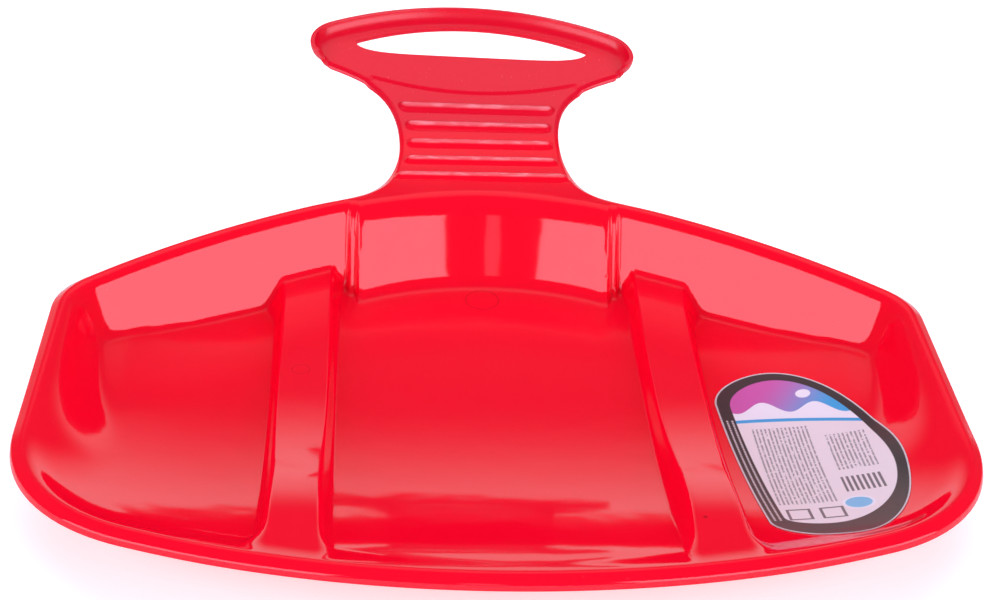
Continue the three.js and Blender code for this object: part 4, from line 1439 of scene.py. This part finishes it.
@dataclass(frozen=True)
class GlossPlastic:
    """The red moulded plastic, coloured right through and less glossy on the handle, whose darker red is
    painted shade.
    """

    colour: Colour = (0.94, 0.0006, 0.02, 1.0)
    # Painted shade: a darker red for the handle, standing in for the lesser light that falls on its
    # tilted plate.
    handle_painted_shade: Colour = (0.78, 0.0006, 0.022, 1.0)
    # A pale pink, used both for the real dust specks and for the painted highlight along the rib crests.
    dust_and_highlight: Colour = (1.0, 0.30, 0.34, 1.0)
    shaded: Colour = (0.42, 0.0004, 0.008, 1.0)
    ior: float = 1.5
    roughness: float = 0.05
    cloud_scale: float = 0.02
    cloud_rough: float = 0.03
    handle: Pair = (215.0, 235.0)
    handle_rough: float = 0.2
    scratch_scale: float = 0.9
    scratch_wear: float = 0.35
    scratch_rough: float = 0.12
    scratch_depth: float = 0.015
    highlight_scale: float = 0.35
    highlight_amount: float = 0.75
    scuff_rough: float = 0.3
    dust_scale: float = 0.16
    dust_amount: float = 0.06
    wave_scale: float = 0.045
    wave_detail: float = 1.0
    mark_depth: float = 0.2
    bump: float = 0.35
    gate: Mark = Mark(centre=(-0.5, 120.5, 0.0), radius=9.3, width=0.7, share=0.4)
    pin: Mark = Mark(centre=(-99.8, 26.0, 0.0), radius=4.7, width=0.5, share=0.35)
    spot: Mark = Mark(centre=(92.0, -140.7, 0.0), radius=0.4, width=1.2, share=0.8)

    def make(self, effects: Effects, offset: Vector) -> bpy.types.Material:
        """Builds the material.

        Args:
            effects: The shared node groups.
            offset: The way from the plan's own place to the frame.

        Returns:
            The material.
        """
        material, sheet = new_material("gloss_red_plastic")
        pen = Pen(sheet, effects, offset)
        scratches = pen.draw(effects.scratches, scale=self.scratch_scale, wear=self.scratch_wear)
        crest = sheet.attribute("crest")
        # Painted highlight along the rib crests, broken in patches like scuffs; it also roughens them.
        highlight_and_scuffs = pen.draw(effects.highlight_and_scuffs, scale=self.highlight_scale, crest=crest, amount=self.highlight_amount)
        dust = sheet.product(pen.draw(effects.dust, scale=self.dust_scale), self.dust_amount)
        rings = [
            (pen.draw(effects.ring, centre=mark.centre, radius=mark.radius, width=mark.width), mark.share)
            for mark in (self.gate, self.pin, self.spot)
        ]
        marks = sheet.weighted(0.0, *rings)
        handle = sheet.ramp(pen.y, *self.handle)
        # Painted shade: the handle is mixed to a darker red, for the lesser light that falls on it.
        colour = sheet.mix(handle, self.colour, self.handle_painted_shade)
        colour = sheet.mix(marks, colour, self.shaded)
        colour = sheet.mix(dust, colour, self.dust_and_highlight)
        rough = sheet.weighted(
            self.roughness,
            (sheet.noise(pen.where, self.cloud_scale), self.cloud_rough),
            (scratches, self.scratch_rough),
            (highlight_and_scuffs, self.scuff_rough),
            (handle, self.handle_rough),
        )
        height = sheet.weighted(
            sheet.noise(pen.where, self.wave_scale, self.wave_detail),
            (scratches, -self.scratch_depth),
            (marks, -self.mark_depth),
        )
        sheet.shade(
            {
                "IOR": self.ior,
                # Painted highlight: the rib crests are mixed to pale pink.
                "Base Color": sheet.mix(highlight_and_scuffs, colour, self.dust_and_highlight),
                "Roughness": rough,
                "Normal": sheet.bump(height, self.bump),
            }
        )
        return material


@dataclass(frozen=True)
class LabelDesign:
    """Where the parts of the print lie. Lengths are the plan's own millimetres."""

    rule_blocks: tuple[Corners, Corners] = (((134, -102), (163, -14)), ((169, -66), (190, -26)))
    rule_period: float = 2.1
    rule_share: float = 0.5
    rule_ink: float = 0.75
    gap_scale: float = 0.55
    gap_detail: float = 1.0
    gaps: Pair = (0.36, 0.46)
    bar_block: Corners = ((169, -92), (189, -74))
    bar_period: float = 2.6
    bar_share: float = 0.55
    frames: tuple[Corners, Corners] = (((136, -122), (148, -108)), ((152, -122), (164, -108)))
    frame_line: float = 1.4
    badge: Place = (172.0, -106.0, 0.0)
    badge_radius: float = 6.9
    badge_ring: float = 8.5
    badge_edge: float = 0.03
    moon: Place = (166.0, 18.0, 0.0)
    moon_radius: float = 4.5
    moon_edge: float = 0.1
    sky_slant: float = 0.6
    sky: Pair = (128.0, 178.0)
    hill_turn: float = 0.23
    hill_rise: float = 5.0
    hill_height: float = 15.0
    hill_edge: Pair = (-0.3, 0.3)
    picture_rule: float = 3.2
    picture_edge: Pair = (-0.2, 0.2)
    panel_edge: Pair = (-0.25, 0.25)
    side_block: Corners = ((100, -122), (134, -4))
    side_period: float = 2.7
    side_share: float = 0.42
    side_from: Pair = (2.5, 2.7)
    dash_period: float = 1.9
    dash_share: float = 0.72
    rim: Pair = (1.1, 0.7)


@dataclass(frozen=True)
class PrintedFilm:
    """The label's printed film: a dark band round a pale panel with a picture and rules."""

    design: LabelDesign = LabelDesign()
    band: Colour = (0.045, 0.035, 0.038, 1.0)
    rim: Colour = (0.62, 0.55, 0.58, 1.0)
    ground: Colour = (0.84, 0.72, 0.77, 1.0)
    ink: Colour = (0.17, 0.14, 0.16, 1.0)
    near: Colour = (0.60, 0.10, 0.40, 1.0)
    far: Colour = (0.05, 0.36, 0.72, 1.0)
    snow: Colour = (0.86, 0.80, 0.90, 1.0)
    badge: Colour = (0.20, 0.50, 0.78, 1.0)
    roughness: float = 0.3
    scratch_scale: float = 0.9
    scratch_wear: float = 0.4
    scratch_rough: float = 0.15
    dust_scale: float = 0.3
    dust_amount: float = 0.2
    wave_scale: float = 0.09
    wave_detail: float = 2.0
    bump: float = 0.4

    def make(self, effects: Effects, offset: Vector) -> bpy.types.Material:
        """Builds the material, as GlossPlastic.make."""
        material, sheet = new_material("printed_film")
        pen, design = Pen(sheet, effects, offset), self.design
        inside = sheet.ramp(sheet.attribute("panel_depth"), *design.panel_edge)
        colour = sheet.mix(inside, self.side_rules(pen), self.picture(pen, self.panel(pen)))
        for radius, shade in ((design.badge_ring, self.snow), (design.badge_radius, self.badge)):
            colour = sheet.mix(pen.disc(design.badge, radius, design.badge_edge), colour, shade)
        colour = sheet.mix(sheet.ramp(sheet.attribute("band_depth"), *design.rim), colour, self.rim)
        dust = sheet.product(pen.draw(effects.dust, scale=self.dust_scale), self.dust_amount)
        scratches = pen.draw(effects.scratches, scale=self.scratch_scale, wear=self.scratch_wear)
        height = sheet.noise(pen.where, self.wave_scale, self.wave_detail)
        sheet.shade(
            {
                "Base Color": sheet.mix(dust, colour, self.rim),
                "Roughness": sheet.weighted(self.roughness, (scratches, self.scratch_rough)),
                "Normal": sheet.bump(height, self.bump),
            }
        )
        return material

    def panel(self, pen: Pen) -> Socket:
        """The pale panel with its rules, its bars and its frames."""
        sheet, design = pen.sheet, self.design
        rules = pen.stripes(pen.x, design.rule_period, design.rule_share)
        gaps = sheet.ramp(sheet.noise(pen.where, design.gap_scale, design.gap_detail), *design.gaps)
        blocks = sheet.math("ADD", *(pen.block(corners) for corners in design.rule_blocks))
        colour = sheet.mix(sheet.product(rules, gaps, blocks, design.rule_ink), self.ground, self.ink)
        bars = pen.stripes(pen.x, design.bar_period, design.bar_share)
        colour = sheet.mix(sheet.product(bars, pen.block(design.bar_block)), colour, self.ink)
        for corners in design.frames:
            hollow = pen.block(corners, design.frame_line)
            frame = sheet.math("SUBTRACT", pen.block(corners), hollow)
            colour = sheet.mix(frame, colour, self.ink)
        return colour

    def picture(self, pen: Pen, panel: Socket) -> Socket:
        """Plain hills and a pale disc before a sky, past a rule at the panel's front end."""
        sheet, design = pen.sheet, self.design
        depth = sheet.attribute("picture_depth")
        slant = sheet.weighted(pen.x, (pen.y, -design.sky_slant))
        colour = sheet.mix(sheet.ramp(slant, *design.sky), self.near, self.far)
        wave = sheet.math("SINE", sheet.product(pen.x, design.hill_turn))
        hill = sheet.weighted(design.hill_height, (wave, design.hill_rise))
        hill = sheet.math("SUBTRACT", hill, depth)
        colour = sheet.mix(sheet.ramp(hill, *design.hill_edge), colour, self.snow)
        rule = sheet.math("SUBTRACT", design.picture_rule, depth)
        colour = sheet.mix(sheet.ramp(rule, *design.picture_edge), colour, self.far)
        moon = pen.disc(design.moon, design.moon_radius, design.moon_edge)
        colour = sheet.mix(moon, colour, self.snow)
        return sheet.mix(sheet.ramp(depth, *design.picture_edge), panel, colour)

    def side_rules(self, pen: Pen) -> Socket:
        """The dark band, with two broken pale rules beside the straight edge."""
        sheet, design = pen.sheet, self.design
        depth = sheet.attribute("band_depth")
        lines = pen.stripes(depth, design.side_period, design.side_share)
        dashes = pen.stripes(pen.y, design.dash_period, design.dash_share)
        deep = sheet.ramp(depth, *design.side_from)
        rules = sheet.product(lines, pen.block(design.side_block), dashes, deep)
        return sheet.mix(rules, self.band, self.rim)


@dataclass(frozen=True)
class PhotoCamera:
    """The camera at the photograph's viewing angle, in the plan's own place."""

    place: Place = (-0.06844, -1.0317, 0.62195)
    yaw: float = 0.06499
    pitch: float = 0.49194
    roll: float = 0.04586
    focal_pixels: float = 2312.5
    width_pixels: float = 989.0
    sensor: float = 36.0
    nearest: float = 0.05
    furthest: float = 50.0

    def place_in(self, offset: Vector) -> None:
        """Adds the camera to the scene, given the way from the plan's own place to the frame."""
        flat = math.cos(self.pitch)
        forward = Vector((math.sin(self.yaw) * flat, math.cos(self.yaw) * flat, -math.sin(self.pitch)))
        level = Vector((math.cos(self.yaw), -math.sin(self.yaw), 0.0))
        down = forward.cross(level)
        right = math.cos(self.roll) * level - math.sin(self.roll) * down
        under = math.sin(self.roll) * level + math.cos(self.roll) * down
        data = bpy.data.cameras.new("photo_camera")
        data.sensor_fit = "HORIZONTAL"
        data.sensor_width = self.sensor
        data.lens = self.sensor * self.focal_pixels / self.width_pixels
        data.clip_start, data.clip_end = self.nearest, self.furthest
        camera = bpy.data.objects.new("photo_camera", data)
        bpy.context.scene.collection.objects.link(camera)
        turn = Matrix((right, -under, -forward)).transposed().to_4x4()
        camera.matrix_world = Matrix.Translation(Vector(self.place) + offset) @ turn
        bpy.context.scene.camera = camera


@dataclass(frozen=True)
class SoftLight:
    """A bent panel of light that stands round the object. Angles are degrees.

    The turns are the bearings of its two ends, from the camera's side to the right, and the
    lifts are the elevations of its lower and its upper edge.
    """

    name: str
    turns: Pair
    lifts: Pair
    strength: float
    mirrored: bool = True


@dataclass(frozen=True)
class Studio:
    """The plain pale floor, the soft lights round the object and the dim room."""

    floor_half: float = 6.0
    floor_drop: float = 0.5 * MM
    floor_colour: Colour = (0.86, 0.86, 0.86, 1.0)
    floor_roughness: float = 0.9
    floor_glow: float = 0.5
    white: Colour = (1.0, 1.0, 1.0, 1.0)
    lights: tuple[SoftLight, ...] = (
        SoftLight("left", (-18.0, -76.0), (3.0, 38.0), 3.6),
        SoftLight("right", (18.0, 76.0), (3.0, 38.0), 3.6),
        SoftLight("middle", (-2.6, 2.6), (10.0, 38.0), 1.0),
        SoftLight("far", (115.0, 245.0), (33.0, 72.0), 2.35, mirrored=False),
    )
    light_distance: float = 2.4
    light_columns: int = 25
    light_rows: int = 13
    tint: Colour = (0.98, 0.95, 1.1, 1.0)
    room: float = 0.12
    horizon: float = 1.0
    horizon_height: Pair = (0.55, 0.1)
    horizon_reach: Pair = (0.76, 0.94)
    ceiling: float = 0.6
    ceiling_way: Place = (0.0, 0.44, 0.9)
    ceiling_reach: Pair = (0.86, 0.99)

    def build(self) -> None:
        """Adds the floor, the lights and the world."""
        self.add_floor()
        for light in self.lights:
            self.add_light(light)
        self.light_room()

    def add_floor(self) -> None:
        """Adds the floor, which the camera sees as white outside the object's shadow."""
        in_object_mode()
        bpy.ops.mesh.primitive_plane_add(size=2 * self.floor_half, location=(0, 0, -self.floor_drop))
        floor = bpy.context.object
        floor.name = "studio_floor"
        material, sheet = new_material(floor.name)
        seen = sheet.add("ShaderNodeLightPath").outputs["Is Camera Ray"]
        sheet.shade(
            {
                "Base Color": self.floor_colour,
                "Roughness": self.floor_roughness,
                "Specular IOR Level": 0.0,
                "Emission Color": self.white,
                "Emission Strength": sheet.product(seen, self.floor_glow),
            }
        )
        floor.data.materials.append(material)

    def add_light(self, light: SoftLight) -> None:
        """Adds one soft light."""
        turns, lifts = np.radians(light.turns), np.radians(light.lifts)
        turn, lift = np.meshgrid(
            np.linspace(*turns, self.light_columns), np.linspace(*lifts, self.light_rows)
        )
        net = self.light_distance * np.stack(
            [np.sin(turn) * np.cos(lift), -np.cos(turn) * np.cos(lift), np.sin(lift)], axis=-1
        )
        panel = grid_net(f"soft_light_{light.name}", net)
        material, sheet = new_material(panel.name)
        sheet.tree.nodes.clear()
        glow = sheet.add("ShaderNodeEmission", {"Color": self.tint, "Strength": light.strength})
        sheet.add("ShaderNodeOutputMaterial", {"Surface": glow.outputs[0]})
        panel.data.materials.append(material)
        panel.visible_camera = False
        panel.visible_glossy = light.mirrored

    def light_room(self) -> None:
        """Makes the world a dim room with a pale horizon and a pale ceiling past the object."""
        world = bpy.data.worlds.new("studio_room")
        bpy.context.scene.world = world
        world.use_nodes = True
        sheet = Sheet(world.node_tree)
        sheet.tree.nodes.clear()
        where = sheet.add("ShaderNodeTexCoord").outputs["Generated"]
        parts = sheet.split(where)
        low = sheet.product(sheet.ramp(parts["Z"], *self.horizon_height), self.horizon)
        pale = sheet.product(low, sheet.ramp(parts["Y"], *self.horizon_reach))
        aim = sheet.vector("DOT_PRODUCT", where, self.ceiling_way)["Value"]
        above = sheet.weighted(self.room, (sheet.ramp(aim, *self.ceiling_reach), self.ceiling))
        back = sheet.add("ShaderNodeBackground", {"Strength": sheet.math("ADD", pale, above)})
        sheet.add("ShaderNodeOutputWorld", {"Surface": back.outputs[0]})


def settle(piece: bpy.types.Object, offset: Vector) -> None:
    """Moves a piece's mesh from the plan's own place to the frame."""
    piece.data.transform(Matrix.Translation(offset))
    piece.data.update()


def fit_inside(piece: bpy.types.Object, node: Node) -> None:
    """Draws a piece in by the little by which it is larger than the model's node."""
    places = coordinates(piece)
    low, high = (np.array(corner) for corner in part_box(node.value))
    own_low, own_high = places.min(axis=0), places.max(axis=0)
    share = np.minimum(1.0, (high - low - FIT_SPARE) / (own_high - own_low))
    middle = (own_low + own_high) / 2.0
    places = middle + (places - middle) * share
    own_low, own_high = places.min(axis=0), places.max(axis=0)
    shift = np.maximum(low - own_low, 0.0) + np.minimum(high - own_high, 0.0)
    place_vertices(piece, places + shift)


def finish_piece(
    piece: bpy.types.Object, material: bpy.types.Material, node: Node
) -> None:
    """Dresses a piece in its finish and ties it to the frame.

    Args:
        piece: The piece.
        material: Its finish.
        node: The model's node that it stands for.
    """
    piece.data.materials.clear()
    piece.data.materials.append(material)
    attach(piece, "root")
    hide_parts(node.value)
    LOG.info("%s: %d faces", piece.name, len(piece.data.polygons))


def main() -> None:
    """Builds the slider, its label and the studio."""
    logging.basicConfig(level=logging.INFO, format="%(name)s: %(message)s")
    bpy.context.scene.view_settings.view_transform = "Standard"
    shell = SliderShell()
    low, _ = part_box(Node.BODY.value)
    offset = Vector((0.0, low[1] - shell.pan.rear, low[2] + shell.pan.wall))
    PhotoCamera().place_in(offset)
    body = shell.build()
    label = ProductLabel(shell).build()
    settle(body, offset)
    settle(label, offset)
    fit_inside(body, Node.BODY)
    effects = Effects()
    finish_piece(body, GlossPlastic().make(effects, offset), Node.BODY)
    finish_piece(label, PrintedFilm().make(effects, offset), Node.LABEL)
    Studio().build()


if __name__ == "__main__":
    main()
